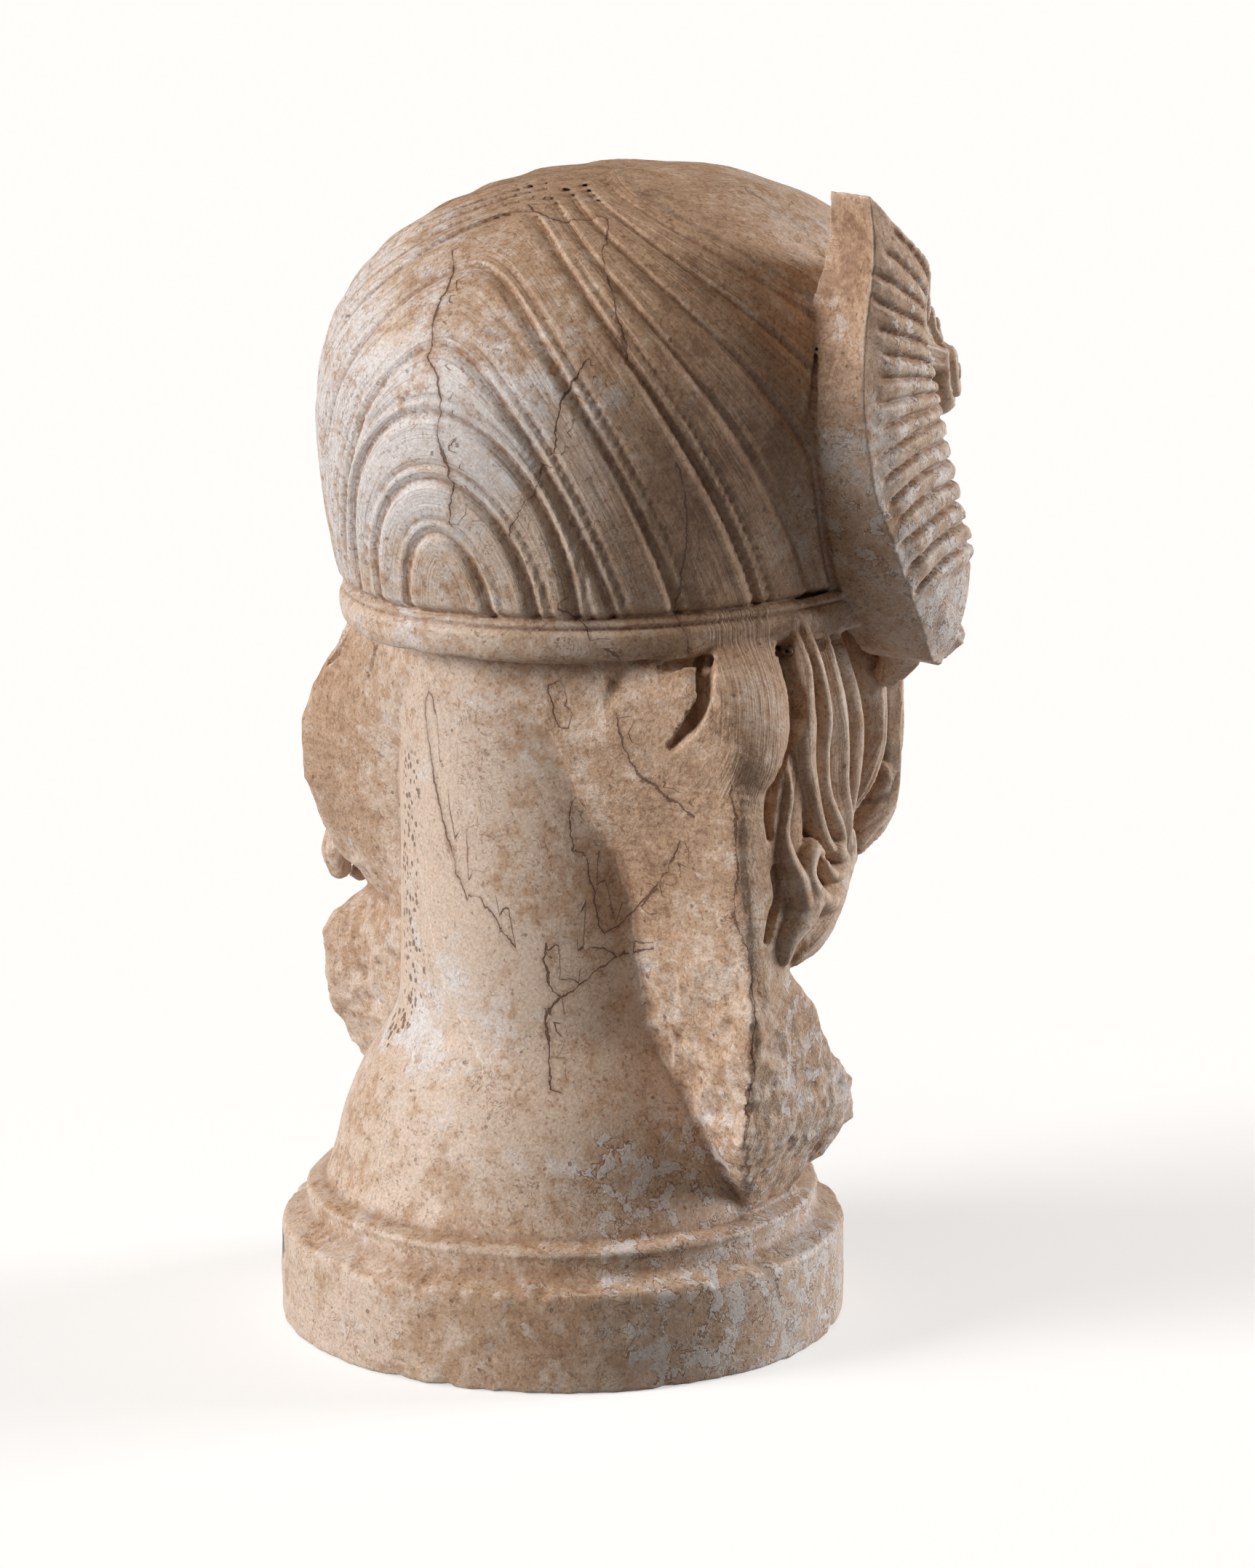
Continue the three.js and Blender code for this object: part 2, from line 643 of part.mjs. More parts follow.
function curl({ root, belly, tip, width }, hand) {
  const inward = [belly, tip].map(([side, front, up]) => place(hand, side, front, up));
  const middle = inward[1].clone().lerp(inward[0], 0.35);
  middle.y += 6;
  middle.z += 2;
  const curve = new THREE.CatmullRomCurve3([place(hand, ...root), ...inward, middle]);
  const swelling = (t) => width * (0.55 + 0.45 * Math.sin(Math.PI * Math.min(1, 0.15 + 0.7 * t)));
  return solid(limb(curve, swelling, swelling, outwardFromNeck, 5, 4));
}

// Crossing grooves can cut a chip loose. Only the block itself stays.
function largest(whole) {
  return whole.decompose().sort((a, b) => b.volume() - a.volume())[0];
}

function carvedHead() {
  let head = plinthAndNeck().add(hairCap());
  for (const arch of arches) head = head.subtract(grooveCutter(arch));
  const parts = [headBand(), sideHair(), beardBlock(), faceBlock(), nose(), ...mouth()];
  parts.push(brokenMass(RIGHT, nearMass), brokenMass(LEFT, farMass));
  parts.push(ramsHorn(RIGHT), ramsHorn(LEFT).subtract(brokenCorner()));
  for (const hand of [RIGHT, LEFT]) {
    parts.push(...templeHair(hand), ...beardCurls(hand));
    parts.push(...browAndLid(hand), eyeball(hand), moustache(hand));
    parts.push(ridge(hand, hornTuft.points, hornTuft.radius));
    parts.push(...browCurls.map((shape) => curl(shape, hand)));
  }
  for (const piece of parts) head = head.add(piece);
  return largest(head);
}

function toMesh(manifold, name, material) {
  const { vertProperties, triVerts } = manifold.getMesh();
  const geometry = new THREE.BufferGeometry();
  geometry.setAttribute('position', new THREE.BufferAttribute(new Float32Array(vertProperties), 3));
  geometry.setIndex(new THREE.BufferAttribute(new Uint32Array(triVerts), 1));
  geometry.computeVertexNormals();
  const mesh = new THREE.Mesh(geometry, material);
  mesh.name = name;
  return mesh;
}

const marble = new THREE.MeshStandardMaterial({ color: 0xcdb599, roughness: 0.7, metalness: 0 });

const statue = new THREE.Group();
statue.name = 'marble_head';
statue.add(toMesh(carvedHead(), 'horned_head_on_plinth', marble));

export default statue;
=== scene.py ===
# Old marble head of a horned, bearded god on a turned plinth, carved from one block.
# Metres, +Z up, face towards -Y. The making works in millimetres as (side, front, up):
# side runs towards the head's own right, front towards the face.
import math
import time

import bpy
import numpy as np
import openvdb
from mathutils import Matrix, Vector


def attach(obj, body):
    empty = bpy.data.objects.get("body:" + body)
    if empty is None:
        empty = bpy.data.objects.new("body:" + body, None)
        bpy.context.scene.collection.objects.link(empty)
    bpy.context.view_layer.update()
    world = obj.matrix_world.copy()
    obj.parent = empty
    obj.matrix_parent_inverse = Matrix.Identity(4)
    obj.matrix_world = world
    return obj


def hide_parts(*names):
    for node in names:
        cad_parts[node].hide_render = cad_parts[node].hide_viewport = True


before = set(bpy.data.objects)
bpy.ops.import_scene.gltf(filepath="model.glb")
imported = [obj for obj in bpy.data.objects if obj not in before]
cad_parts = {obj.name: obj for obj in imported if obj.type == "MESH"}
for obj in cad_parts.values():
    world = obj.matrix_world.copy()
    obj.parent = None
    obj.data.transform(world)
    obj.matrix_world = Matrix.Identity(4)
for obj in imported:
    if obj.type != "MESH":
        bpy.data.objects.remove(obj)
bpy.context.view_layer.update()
started = time.time()
nodeName = "horned_head_on_plinth"

carving = {
    "voxel": 1.25,  # finest chisel mark that the mesh holds, mm
    "cell": 5.0,  # the block is searched in cells of this size, mm
    "band": 7.0,  # how deep around the skin the cells are carved, mm
    "faces": 192000,  # triangles that are left at the end
    "batch": 40000,  # points and cells taken at once, to spare memory
    "cells": 6000,
    "low": (-146.0, -124.0, -6.0),  # two corners of the block, mm
    "high": (146.0, 216.0, 480.0),
}


def stage(text):
    print("%5.1f s  %s" % (time.time() - started, text), flush=True)


def addObject(name, data):
    obj = bpy.data.objects.new(name, data)
    bpy.context.scene.collection.objects.link(obj)
    return obj


random = np.random.default_rng(11)
lattice = (random.random((32, 32, 32)) * 2 - 1).astype(np.float32)


def blend(grid, base, share, wrap=-1):  # between the eight values of the grid round each place
    total = np.zeros(len(share), np.float32)
    for corner in range(8):
        bits = (corner & 1, corner >> 1 & 1, corner >> 2 & 1)
        weight = np.ones(len(share), np.float32)
        for axis, bit in enumerate(bits):
            weight *= share[:, axis] if bit else 1 - share[:, axis]
        i, j, k = ((base[:, axis] + bits[axis]) & wrap for axis in range(3))
        total += weight * grid[i, j, k]
    return total


def noise(points, size, shift=0.0):  # smooth noise between -1 and 1, one lump per size
    q = points / size + shift
    base = np.floor(q).astype(np.int32)
    f = (q - base).astype(np.float32)
    return blend(lattice, base, f * f * (3 - 2 * f), wrap=31)


def step(low, high, x):
    t = np.clip((x - low) / (high - low), 0, 1)
    return t * t * (3 - 2 * t)


def bump(x, middle, width):
    return np.exp(-(((x - middle) / width) ** 2))


def smoothLine(points, count):  # an even curve through the points
    points = np.asarray(points, float)
    padded = np.vstack([2 * points[:1] - points[1:2], points, 2 * points[-1:] - points[-2:-1]])
    t = np.linspace(0, len(points) - 1, count)
    i = np.minimum(t.astype(int), len(points) - 2)
    u = (t - i)[:, None]
    a, b, c, d = padded[i], padded[i + 1], padded[i + 2], padded[i + 3]
    return 0.5 * (2 * b + (c - a) * u + (2 * a - 5 * b + 4 * c - d) * u**2 + (3 * b - a - 3 * c + d) * u**3)


def unit(v):
    return v / np.maximum(np.linalg.norm(v, axis=-1, keepdims=True), 1e-9)


def mirror(points, hand):  # hand is 1 on the head's own right and -1 on its left
    return np.array(points, float) * (hand, 1, 1)


# For each point: the line's nearest segment, the share along it, the gap to it and the way past the line's ends.
def nearestOn(line, points):
    start, along = line[:-1], np.diff(line, axis=0)
    gap = points[:, None, :] - start
    t = (gap * along).sum(2) / (along**2).sum(1)
    past = np.maximum(np.maximum(-t[:, 0], t[:, -1] - 1), 0) * np.linalg.norm(along[0])
    t = np.clip(t, 0, 1)
    gap = gap - t[..., None] * along
    k = (gap**2).sum(2).argmin(1)
    rows = np.arange(len(points))
    return k, t[rows, k], gap[rows, k], past


def polygonDistance(x, y, corners):  # signed, negative inside
    corners = np.asarray(corners, np.float32)
    best = np.full(len(x), 1e9, np.float32)
    inside = np.zeros(len(x), bool)
    for a, b in zip(corners, np.roll(corners, -1, 0)):
        e = b - a
        wx, wy = x - a[0], y - a[1]
        t = np.clip((wx * e[0] + wy * e[1]) / max(e @ e, 1e-9), 0, 1)
        best = np.minimum(best, (wx - t * e[0]) ** 2 + (wy - t * e[1]) ** 2)
        if a[1] != b[1]:
            crosses = (a[1] > y) != (b[1] > y)
            inside ^= crosses & (x < a[0] + e[0] * (y - a[1]) / e[1])
    return np.where(inside, -1, 1) * np.sqrt(best)


def ovalDistance(points, middle, radii):
    q = (points - middle) / radii
    k = np.sqrt((q**2).sum(1))
    slope = np.sqrt(((q / radii) ** 2).sum(1)) / np.maximum(k, 1e-4)
    return (k - 1) / np.maximum(slope, 1e-4)


forms = []


def addForm(low, high, distance, soft=2.0, cut=False):
    forms.append((np.array(low, float), np.array(high, float), distance, soft, cut))


def oval(middle, radii, soft=2.0, cut=False):
    middle, radii = np.array(middle, float), np.array(radii, float)
    addForm(middle - radii, middle + radii, lambda p: ovalDistance(p, middle, radii), soft, cut)


lockLines = []  # every combed lock's line and half width, for the strokes in the material
heart = np.array([0.0, 30.0, 0.0])  # locks lie with their broad side facing away from here


# A lock, strand, lip or channel: an oval section that follows a line. Wide and thick are half widths
# along it, across the surface and away from it.
def sweep(points, wide, thick, soft=1.2, cut=False, strands=0, depth=0.6, outward=None, count=0, phase=0.0):
    line = smoothLine(points, count or 5 * len(points))
    at = np.linspace(0, 1, len(line))
    w, h = (np.interp(at, np.linspace(0, 1, len(halves)), halves) for halves in (wide, thick))
    along = np.diff(line, axis=0)
    away = (line[:-1] - heart) * (1, 1, 0) if outward is None else np.array([outward] * len(along), float)
    ahead, across = unit(along), unit(np.cross(along, away))
    off = unit(np.cross(across, along))

    def distance(points):
        out = np.empty(len(points))
        for first in range(0, len(points), carving["batch"]):
            p = points[first : first + carving["batch"]]
            k, t, gap, _ = nearestOn(line, p)
            ww = w[k] + t * (w[k + 1] - w[k])
            hh = h[k] + t * (h[k + 1] - h[k])
            x, y, z = ((gap * way[k]).sum(1) for way in (across, off, ahead))
            r = np.sqrt((x / ww) ** 2 + (y / hh) ** 2 + (z / ww) ** 2) + 1e-6
            slope = np.sqrt((x / ww**2) ** 2 + (y / hh**2) ** 2 + (z / ww**2) ** 2) / r
            d = (r - 1) / np.maximum(slope, 1e-4)
            if strands:
                comb = np.cos(2 * math.pi * strands * (x / (2 * ww)) + phase)
                d = d - depth * (comb - 0.6) * step(-0.2, 0.5, y / hh)
            out[first : first + carving["batch"]] = d
        return out

    if strands and not cut:
        lockLines.append((line, w.max()))
    reach = np.maximum(w, h).max() + (depth if strands else 0)
    addForm(line.min(0) - reach, line.max(0) + reach, distance, soft, cut)


def evaluate(centres, offsets):  # the whole carving's distance at centres + offsets
    half = np.abs(offsets).max() + 0.01
    d = np.full((len(centres), len(offsets)), 40.0, np.float32)
    for low, high, distance, soft, cut in forms:
        room = half + soft + carving["band"] + 2
        near = ((centres > low - room) & (centres < high + room)).all(1)
        rows = np.flatnonzero(near)
        if not len(rows):
            continue
        points = (centres[rows][:, None, :] + offsets[None]).reshape(-1, 3)
        v = distance(points).reshape(len(rows), -1).astype(np.float32)
        old = d[rows]
        sign = -1 if cut else 1  # a cut takes away what the same form would add
        h = np.maximum(soft - np.abs(old - sign * v), 0) / soft
        d[rows] = sign * np.minimum(sign * old, v) - sign * h * h * soft * 0.25
    return d


# Plinth, ring and neck.
plinth = {"radius": 115.5, "height": 42.0, "chips": 1.5}
ring = {"foot": 45.0, "top": 56.0}
neck = {"radius": 65.5, "top": 284.0}
turnedFlare = [(97, 57.5), (92.6, 72), (88.5, 88), (82, 104), (73.5, 118), (66.9, 132), (65.5, 154)]
turnedLine = np.vstack([  # radius and height, from the underside up to the top of the neck
    [(0, 0), (plinth["radius"] - 1, 0), (plinth["radius"], 1.2)],
    [(plinth["radius"] + 0.3, 20), (plinth["radius"] - 0.2, plinth["height"] - 3.2)],
    [(plinth["radius"] - 1.2, plinth["height"] - 1), (plinth["radius"] - 3.4, plinth["height"])],
    [(107.5, 43.8), (105.6, ring["foot"]), (104.3, 47.2), (103.9, 50), (104.4, 52.4)],
    [(105, 53.4), (104.4, 55.2), (102.6, ring["top"]), (99.4, ring["top"] + 0.9)],
    smoothLine(turnedFlare, 30),
    [(neck["radius"] - 0.5, neck["top"]), (0, neck["top"])],
])


def plinthDistance(p):
    side, front, up = p.T
    r = np.hypot(side, front)
    d = polygonDistance(r, up, turnedLine)
    rim = bump(up, plinth["height"] - 1, 3.2) * step(100, 112, r) + bump(up, 0, 3.0)
    chips = step(0.28, 0.75, noise(p, 11.0, 3.3)) * plinth["chips"] + 0.35 * noise(p, 4.0)
    lumps = 0.35 * noise(p, 38.0, 1.7) + 0.12 * noise(p, 9.0, 5.1)
    ringWear = 0.5 * bump(up, ring["top"] - 2, 4) * noise(p, 9.0, 8.2)
    worn = 0.3 * noise(p, 6.0, 4.7) * step(92, 100, r)
    return d + rim * chips + lumps * step(60, 100, r) + ringWear + worn + 0.12 * noise(p, 14.0, 2.2)


addForm((-118, -118, -1), (118, 118, neck["top"]), plinthDistance)

# Hair cap with its combed arches.
skull = {"side": 111.0, "depth": 139.9, "rise": 92.5, "fall": 184.0, "front": 42.0, "up": 376.0, "square": 2.18}
whorl = (4.0, -36.0)
# Grooves between the combed locks arch one over the other above the nape: half width in degrees, top height.
arches = [(10.5, 340), (20, 361), (28, 387), (36, 412), (49, 440), (66, 457), (80, 461.3), (97, 464),
          (118, 466), (142, 467.5)]
archMiddle, archFoot = 7.0, 300.0
faceCut = {"front": 84.0, "top": 400.0}
lowestClimb = -0.95  # climb is 0 where the skull is widest and a quarter turn at the crown


def climbAt(up):
    share = (np.asarray(up, float) - skull["up"]) / skull["rise"]
    return np.where(share > 0, np.arcsin(np.clip(share, 0, 1)), share)


def skullPoint(bearing, climb):
    up = skull["up"] + skull["rise"] * np.where(climb > 0, np.sin(climb), climb)
    reach = np.where(climb > 0, skull["rise"], skull["fall"])
    scale = np.sqrt(np.clip(1 - ((up - skull["up"]) / reach) ** 2, 0, 1))
    a = np.radians(bearing)
    side, back = skull["side"] * scale * np.sin(a), skull["depth"] * scale * np.cos(a)
    return np.stack([side, skull["front"] - back, up], -1)


def archLine(spread, top, count=110):
    angle = np.linspace(0.012, 0.988, count) * math.pi
    steep = 1.0 if spread < 30 else 1.45 + 0.0085 * spread
    out = np.sign(np.cos(angle)) * np.abs(np.cos(angle)) ** (1.0 if spread < 30 else 1.12)
    climb = climbAt(archFoot) + (climbAt(top) - climbAt(archFoot)) * np.sin(angle) ** steep
    return archMiddle + spread * out, climb


# A chart of the cap: at each bearing and climb, the relief of the carving and the comb's own count.
def capChart():
    bearings = np.arange(-180, 181, 1.0)
    climbs = np.linspace(lowestClimb, math.pi / 2, 190)
    grid = np.stack(np.meshgrid(bearings, climbs, indexing="ij"), -1).reshape(-1, 2)
    places = skullPoint(grid[:, 0], grid[:, 1])
    turn = (grid[:, 0] - archMiddle + 180) % 360 - 180
    gaps = []
    for spread, top in arches:
        bearing, climb = archLine(spread, top)
        line = skullPoint(bearing, climb)
        a, e = line[:-1], np.diff(line, axis=0)
        best = np.full(len(places), 1e9)
        for k in range(len(a)):
            w = places - a[k]
            t = np.clip((w @ e[k]) / max(e[k] @ e[k], 1e-9), 0, 1)
            best = np.minimum(best, ((w - t[:, None] * e[k]) ** 2).sum(1))
        x = turn / spread
        order = np.argsort(bearing)
        under = grid[:, 1] < np.interp(turn + archMiddle, bearing[order], climb[order])
        gaps.append(np.where((np.abs(x) < 1) & under, -1, 1) * np.sqrt(best))
    gaps = np.array(gaps)
    count = (gaps > 0).sum(0)
    relief = np.zeros(len(places))
    for k, gap in enumerate(gaps):  # each is a deep groove, raised on its inner side, with a fine second one outside
        near = 0.55 + 0.45 * np.clip(np.abs(turn) / arches[k][0] * 1.6, 0, 1)
        near *= np.where(turn < 0, 0.8, 1.0) * (0.7 if k > 5 else 1.0)
        double = 1.0 if k in (1, 2, 3, 4, 5) else 0.75
        relief -= 2.5 * near * bump(gap, 0, 1.5)
        relief += 0.9 * near * bump(gap, -4.2, 2.6)
        relief += 0.6 * near * double * bump(gap, 3.1, 1.3)
        relief -= 1.3 * near * double * bump(gap, 5.6, 1.1)
    lower = np.where(count > 0, np.take_along_axis(gaps, np.maximum(count - 1, 0)[None], 0)[0], 0)
    upper = -np.take_along_axis(gaps, np.minimum(count, len(arches) - 1)[None], 0)[0]
    inner, outer = count == 0, count == len(arches)
    share = np.where(outer, lower / 16.0, lower / np.maximum(lower + upper, 1e-6))
    share = np.where(inner, 1 - upper / 12.0, share)
    comb = count + share
    relief += np.where(inner | outer, 0, 0.7 * np.sin(math.pi * np.clip(share, 0, 1)))
    # Beyond the widest arch the hair runs from the whorl to the brow.
    ray = np.degrees(np.arctan2(places[:, 0] - whorl[0], places[:, 1] - whorl[1]))
    far = np.hypot(places[:, 0] - whorl[0], places[:, 1] - whorl[1])
    sweepTurn = ray + 0.12 * far
    crown = np.where(outer, step(3, 16, lower), 0)
    wave = np.cos(np.radians(sweepTurn) * 22) * step(14, 60, far)
    relief += crown * (0.5 * wave - 0.2)
    comb = np.where(outer & (crown > 0.5), sweepTurn / 9.0, comb)
    whorlPit = bump(far, 0, 9) * -0.9 + 0.3 * bump(far, 14, 6)
    relief += np.where(places[:, 2] > 430, whorlPit, 0)
    return relief.reshape(len(bearings), -1), comb.reshape(len(bearings), -1)


capRelief, capComb = capChart()
stage("hair cap charted")


def chartAt(chart, p):
    side, front, up = p.T
    x = np.degrees(np.arctan2(side / skull["side"], -(front - skull["front"]) / skull["depth"])) + 180
    y = climbAt(np.minimum(up, skull["up"] + skull["rise"])) - lowestClimb
    y = y / (math.pi / 2 - lowestClimb) * (chart.shape[1] - 1)
    x = np.clip(x, 0, chart.shape[0] - 1.001)
    y = np.clip(y, 0, chart.shape[1] - 1.001)
    i, j = x.astype(int), y.astype(int)
    u, v = x - i, y - j
    return (chart[i, j] * (1 - u) * (1 - v) + chart[i + 1, j] * u * (1 - v)
            + chart[i, j + 1] * (1 - u) * v + chart[i + 1, j + 1] * u * v)


def skullDistance(p):
    side, front, up = p.T
    above = up > skull["up"]
    power, reach = np.where(above, skull["square"], 2.0), np.where(above, skull["rise"], skull["fall"])
    x, y, z = side / skull["side"], (front - skull["front"]) / skull["depth"], (up - skull["up"]) / reach
    flat = np.hypot(x, y) + 1e-6
    k = (flat**power + np.abs(z) ** power) ** (1 / power)
    slopeRound = np.hypot(x / skull["side"], y / skull["depth"]) / flat * (flat / k) ** (power - 1)
    slopeUp = (np.abs(z) / k) ** (power - 1) / reach
    d = (k - 1) / np.maximum(np.hypot(slopeRound, slopeUp), 1e-4)
    skin = np.abs(d) < 9
    relief, comb = np.zeros(len(p)), np.zeros(len(p))
    relief[skin] = chartAt(capRelief, p[skin])
    comb[skin] = 0.09 * np.cos(2 * math.pi * 6 * chartAt(capComb, p[skin]))
    fine = 0.35 * noise(p, 17.0) + 0.15 * noise(p, 6.0, 4.4)
    d = d - relief - comb - fine + 6.0 * (1 - step(304, 309.5, up))  # it steps back behind the band
    d = np.maximum(d, -np.maximum(faceCut["front"] - front, up - faceCut["top"]))  # room for the face block
    return np.maximum(d, 286 - up)


addForm((-116, -104, 280), (116, 186, 472), skullDistance, soft=3.0)

# Band round the hair.
band = {"side": 102.5, "depth": 129.5, "front": 46.5, "up": 297.5, "height": 17.5, "thick": 9.5, "bead": 4.3,
        "gapUp": 286.5, "gapOut": 3.5, "gapRound": 2.8}


def bandOut(side, front):  # how far out from the band's middle line
    x, y = side / band["side"], (front - band["front"]) / band["depth"]
    k = np.hypot(x, y) + 1e-6
    return (k - 1) / np.maximum(np.hypot(x / band["side"], y / band["depth"]) / k, 1e-5)


def bandDistance(p):
    side, front, up = p.T
    up = up - band["up"]
    u, v = bandOut(side, front) / (band["thick"] / 2), up / (band["height"] / 2)
    r = (np.abs(u) ** 2.4 + np.abs(v) ** 2.4) ** (1 / 2.4)
    d = (r - 1) * band["thick"] / 2
    d += 1.7 * bump(up, band["bead"], 1.0)  # fine groove that parts the bead from the roll
    d += 0.4 * noise(p, 12.0, 6.6)
    return np.maximum(d, front - 78)


def underBand(p):  # the dark line that parts the band from the hair under it
    side, front, up = p.T
    gap = np.hypot(bandOut(side, front) - band["gapOut"], (up - band["gapUp"]) * 1.2) - band["gapRound"]
    return np.maximum(gap, front - 60)


# Ram's horns.
horn = {"inner": 34.0, "ribPitch": 8.6, "ribDepth": 3.0, "edge": 7.5, "pivot": (150.0, 374.0), "fan": 122.0,
        "lastRib": 316.0}
# Stations on the horn's middle line: front, up, out, and half widths to the back and to the front.
hornStations = smoothLine([
    (118, 398, 90, 14, 12), (105, 403, 101, 17, 17), (88, 411, 112, 21, 20), (73, 415, 124, 32, 22),
    (65, 413, 132, 60, 22), (59, 404, 132.5, 35, 24), (55, 382, 132.5, 30, 29), (60, 354, 132.5, 30, 32),
    (71, 328, 132, 29, 34), (84, 305, 131, 27, 33), (97, 290, 127, 20, 22), (105, 283, 120, 8, 8),
], 100)
hornOutline = np.vstack([  # from the top corner down the ridge, round the tip and back along the front edge
    smoothLine([(26.5, 468), (27.4, 454), (26.7, 440), (23.8, 420), (22.4, 400), (23.2, 383), (29.8, 353),
                (36.2, 340), (51.6, 313), (62, 296.4), (75, 278), (84, 273), (96, 270.8), (108, 277),
                (117, 287.5), (118, 301), (112.5, 309.5), (102.5, 322), (96, 336), (93, 351), (88.5, 367),
                (86, 381)], 66),
    smoothLine([(87, 391), (99, 387), (114, 387), (122, 392), (121, 404), (104, 414), (88, 424), (73, 435),
                (59, 444.5), (50, 450), (38, 460), (26.5, 468)], 34)[:-1],
])
hornSeam = {"up": (272, 290, 318, 350, 374, 388, 402, 416, 445, 466),
            "spread": (2, 9, 15, 11, 11, 6, -2, -8, -10, -6)}  # how far the inner edge lies behind the outer one
hornBreak = {"low": (0, 394), "high": (110, 446)}  # the far horn has lost what lay above this line


def alongLine(x, y, line):  # nearest station, as a number with a fraction, and how far to the line's right
    a, e = line[:-1], np.diff(line, axis=0)
    length = np.linalg.norm(e, axis=1)
    wx, wy = x[:, None] - a[:, 0], y[:, None] - a[:, 1]
    t = np.clip((wx * e[:, 0] + wy * e[:, 1]) / length**2, 0, 1)
    k = ((wx - t * e[:, 0]) ** 2 + (wy - t * e[:, 1]) ** 2).argmin(1)
    rows = np.arange(len(x))
    right = (e[k, 1] * wx[rows, k] - e[k, 0] * wy[rows, k]) / length[k]
    return k + t[rows, k], right


# Grooves fan out from the pivot at the temple and run level further down, each with its end
# bent down along the ridge. Share runs from 0 on the ridge to 1 on the front edge.
def ribRelief(front, up, share, p):
    x, y = horn["pivot"]
    turn = np.arctan2(np.maximum(up - y, 0), x - front)
    run = np.where(up > y, -horn["fan"] * turn, y - up)
    lean = np.interp(run, (-90, -30, 0, 40, 80), (0, 3, 10, 19, 23)) * np.exp(-share / 0.32)
    phase = (run - lean) / horn["ribPitch"] + 0.16 * noise(p, 22.0, 3.1)
    down = phase - np.floor(phase)
    near = step(0.07, 0.2, share + 0.06 * noise(p, 6.0, 2.7))
    near *= step(horn["lastRib"] - 7, horn["lastRib"], up + 0.4 * lean)
    gap = np.minimum(down, 1 - down) * horn["ribPitch"]
    steep = np.interp(up, (330, 385, 450), (1.0, 0.85, 0.5))  # shallower towards the top
    rib = 1.3 * np.sin(math.pi * down**1.2) ** 0.7 + 0.5 * noise(p, 5.0, 6.6)
    return near * steep * (rib - horn["ribDepth"] * bump(gap, 0, 0.95))


def hornDistance(p, hand):
    side, front, up = mirror(p, hand).T
    k, right = alongLine(front, up, hornStations[:, :2])
    out, back, fore = (np.interp(k, np.arange(len(hornStations)), column) for column in hornStations.T[2:])
    depth = out - side
    inward = np.clip(depth / 13, 0, 1) * 0.5 + np.clip((depth - 13) / 21, 0, 1) * 0.5
    spread = np.interp(up, hornSeam["up"], hornSeam["spread"]) * inward * (1 - step(50, 90, front))
    flat = polygonDistance(front + spread, up, hornOutline)
    share = np.clip((back - right) / (back + fore), 0, 1)
    face = np.interp(share, (0, 0.28, 0.62, 0.85, 1), (0, 2.3, 0.6, -3, -horn["edge"]))
    skin = (np.abs(depth + face) < 9) & (flat < 9)
    relief = np.zeros(len(p))
    relief[skin] = ribRelief(front[skin], up[skin], share[skin], p[skin])
    scallop = 0.3 * relief * step(0.7, 1.0, share)  # rib ends show along the front edge
    rough = step(306, 286, up) * (noise(p, 8.0, 9.1) + 0.5 * noise(p, 3.6, 2.1)) + 0.25 * noise(p, 9.0, 4.2)
    d = np.maximum(flat - 0.4 * rough - scallop, -depth - face - relief - rough * 0.7)
    d = np.maximum(d, depth - np.interp(up, (412, 430, 445, 466), (horn["inner"] + 1, 31, 27, 22)))
    if hand < 0:
        (x0, y0), (x1, y1) = hornBreak["low"], hornBreak["high"]
        away = ((up - y0) * (x1 - x0) - (front - x0) * (y1 - y0)) / math.hypot(x1 - x0, y1 - y0)
        d = np.maximum(d, away + 2.2 * noise(p, 15.0, 7.7) + 0.9 * noise(p, 5.0, 1.2))
    return d


for hand in (1, -1):
    ends = sorted((hand * 60, hand * 136))
    addForm((ends[0], 8, 270), (ends[1], 128, 469), lambda p, hand=hand: hornDistance(p, hand), soft=0.8)

# Broken masses of hair beside the neck.
# Height, then the side and front of four corners: inner back, outer back, outer front, inner front.
nearMass = [
    (292, -4, -64, 84, -33, 92, 16, 50, 30), (276, 10, -62, 100, -39, 110, 16, 50, 30),
    (256, 38, -55, 116, -36, 117, 10, 50, 30), (230, 46, -47, 118, -35, 117, 8, 50, 30),
    (204, 56, -34, 118, -34, 118, 8, 50, 30), (178, 59, -28, 119, -30, 117, 8, 50, 30),
    (160, 61, -26, 119, -28, 113, 5, 50, 30), (142, 62, -22, 119, -28, 112, 24, 50, 40),
    (122, 64, -18, 119, -30, 109, 37, 50, 50), (101, 70, -13, 118, -31, 106, 58, 55, 62),
    (86, 76, -10, 110, -23, 105, 60, 55, 62), (72, 78, -7, 102, -10, 98, 47, 55, 55),
    (60, 76, -2, 94, -2, 90, 36, 55, 50),
]
farMass = [
    (292, 30, -54, 80, -24, 88, 16, 50, 30), (272, 36, -54, 98, -25, 106, 18, 50, 30),
    (252, 44, -50, 113, -26, 116, 14, 50, 30), (236, 50, -44, 117, -28, 117, 14, 50, 30),
    (212, 54, -38, 117, -28, 116, 16, 50, 30), (190, 57, -34, 110, -21, 112, 16, 50, 30),
    (178, 58, -31, 106, -16, 108, 16, 50, 30), (165, 59, -28, 102, -4, 104, 20, 50, 32),
    (154, 60, -27, 112, -13, 110, 26, 50, 36), (143, 60, -26, 114, -17, 112, 34, 50, 40),
    (127, 62, -24, 114, -16, 110, 42, 50, 45), (109, 66, -20, 111, -13, 108, 46, 52, 50),
    (92, 74, -12, 104, -8, 100, 46, 54, 52), (76, 76, -6, 88, 6, 88, 40, 54, 50),
]
chisel = {"furrow": 3.7, "depth": 0.24}  # a tooth chisel's furrows, mm apart
massRound = 1.8  # how far the masses' edges are rounded, mm


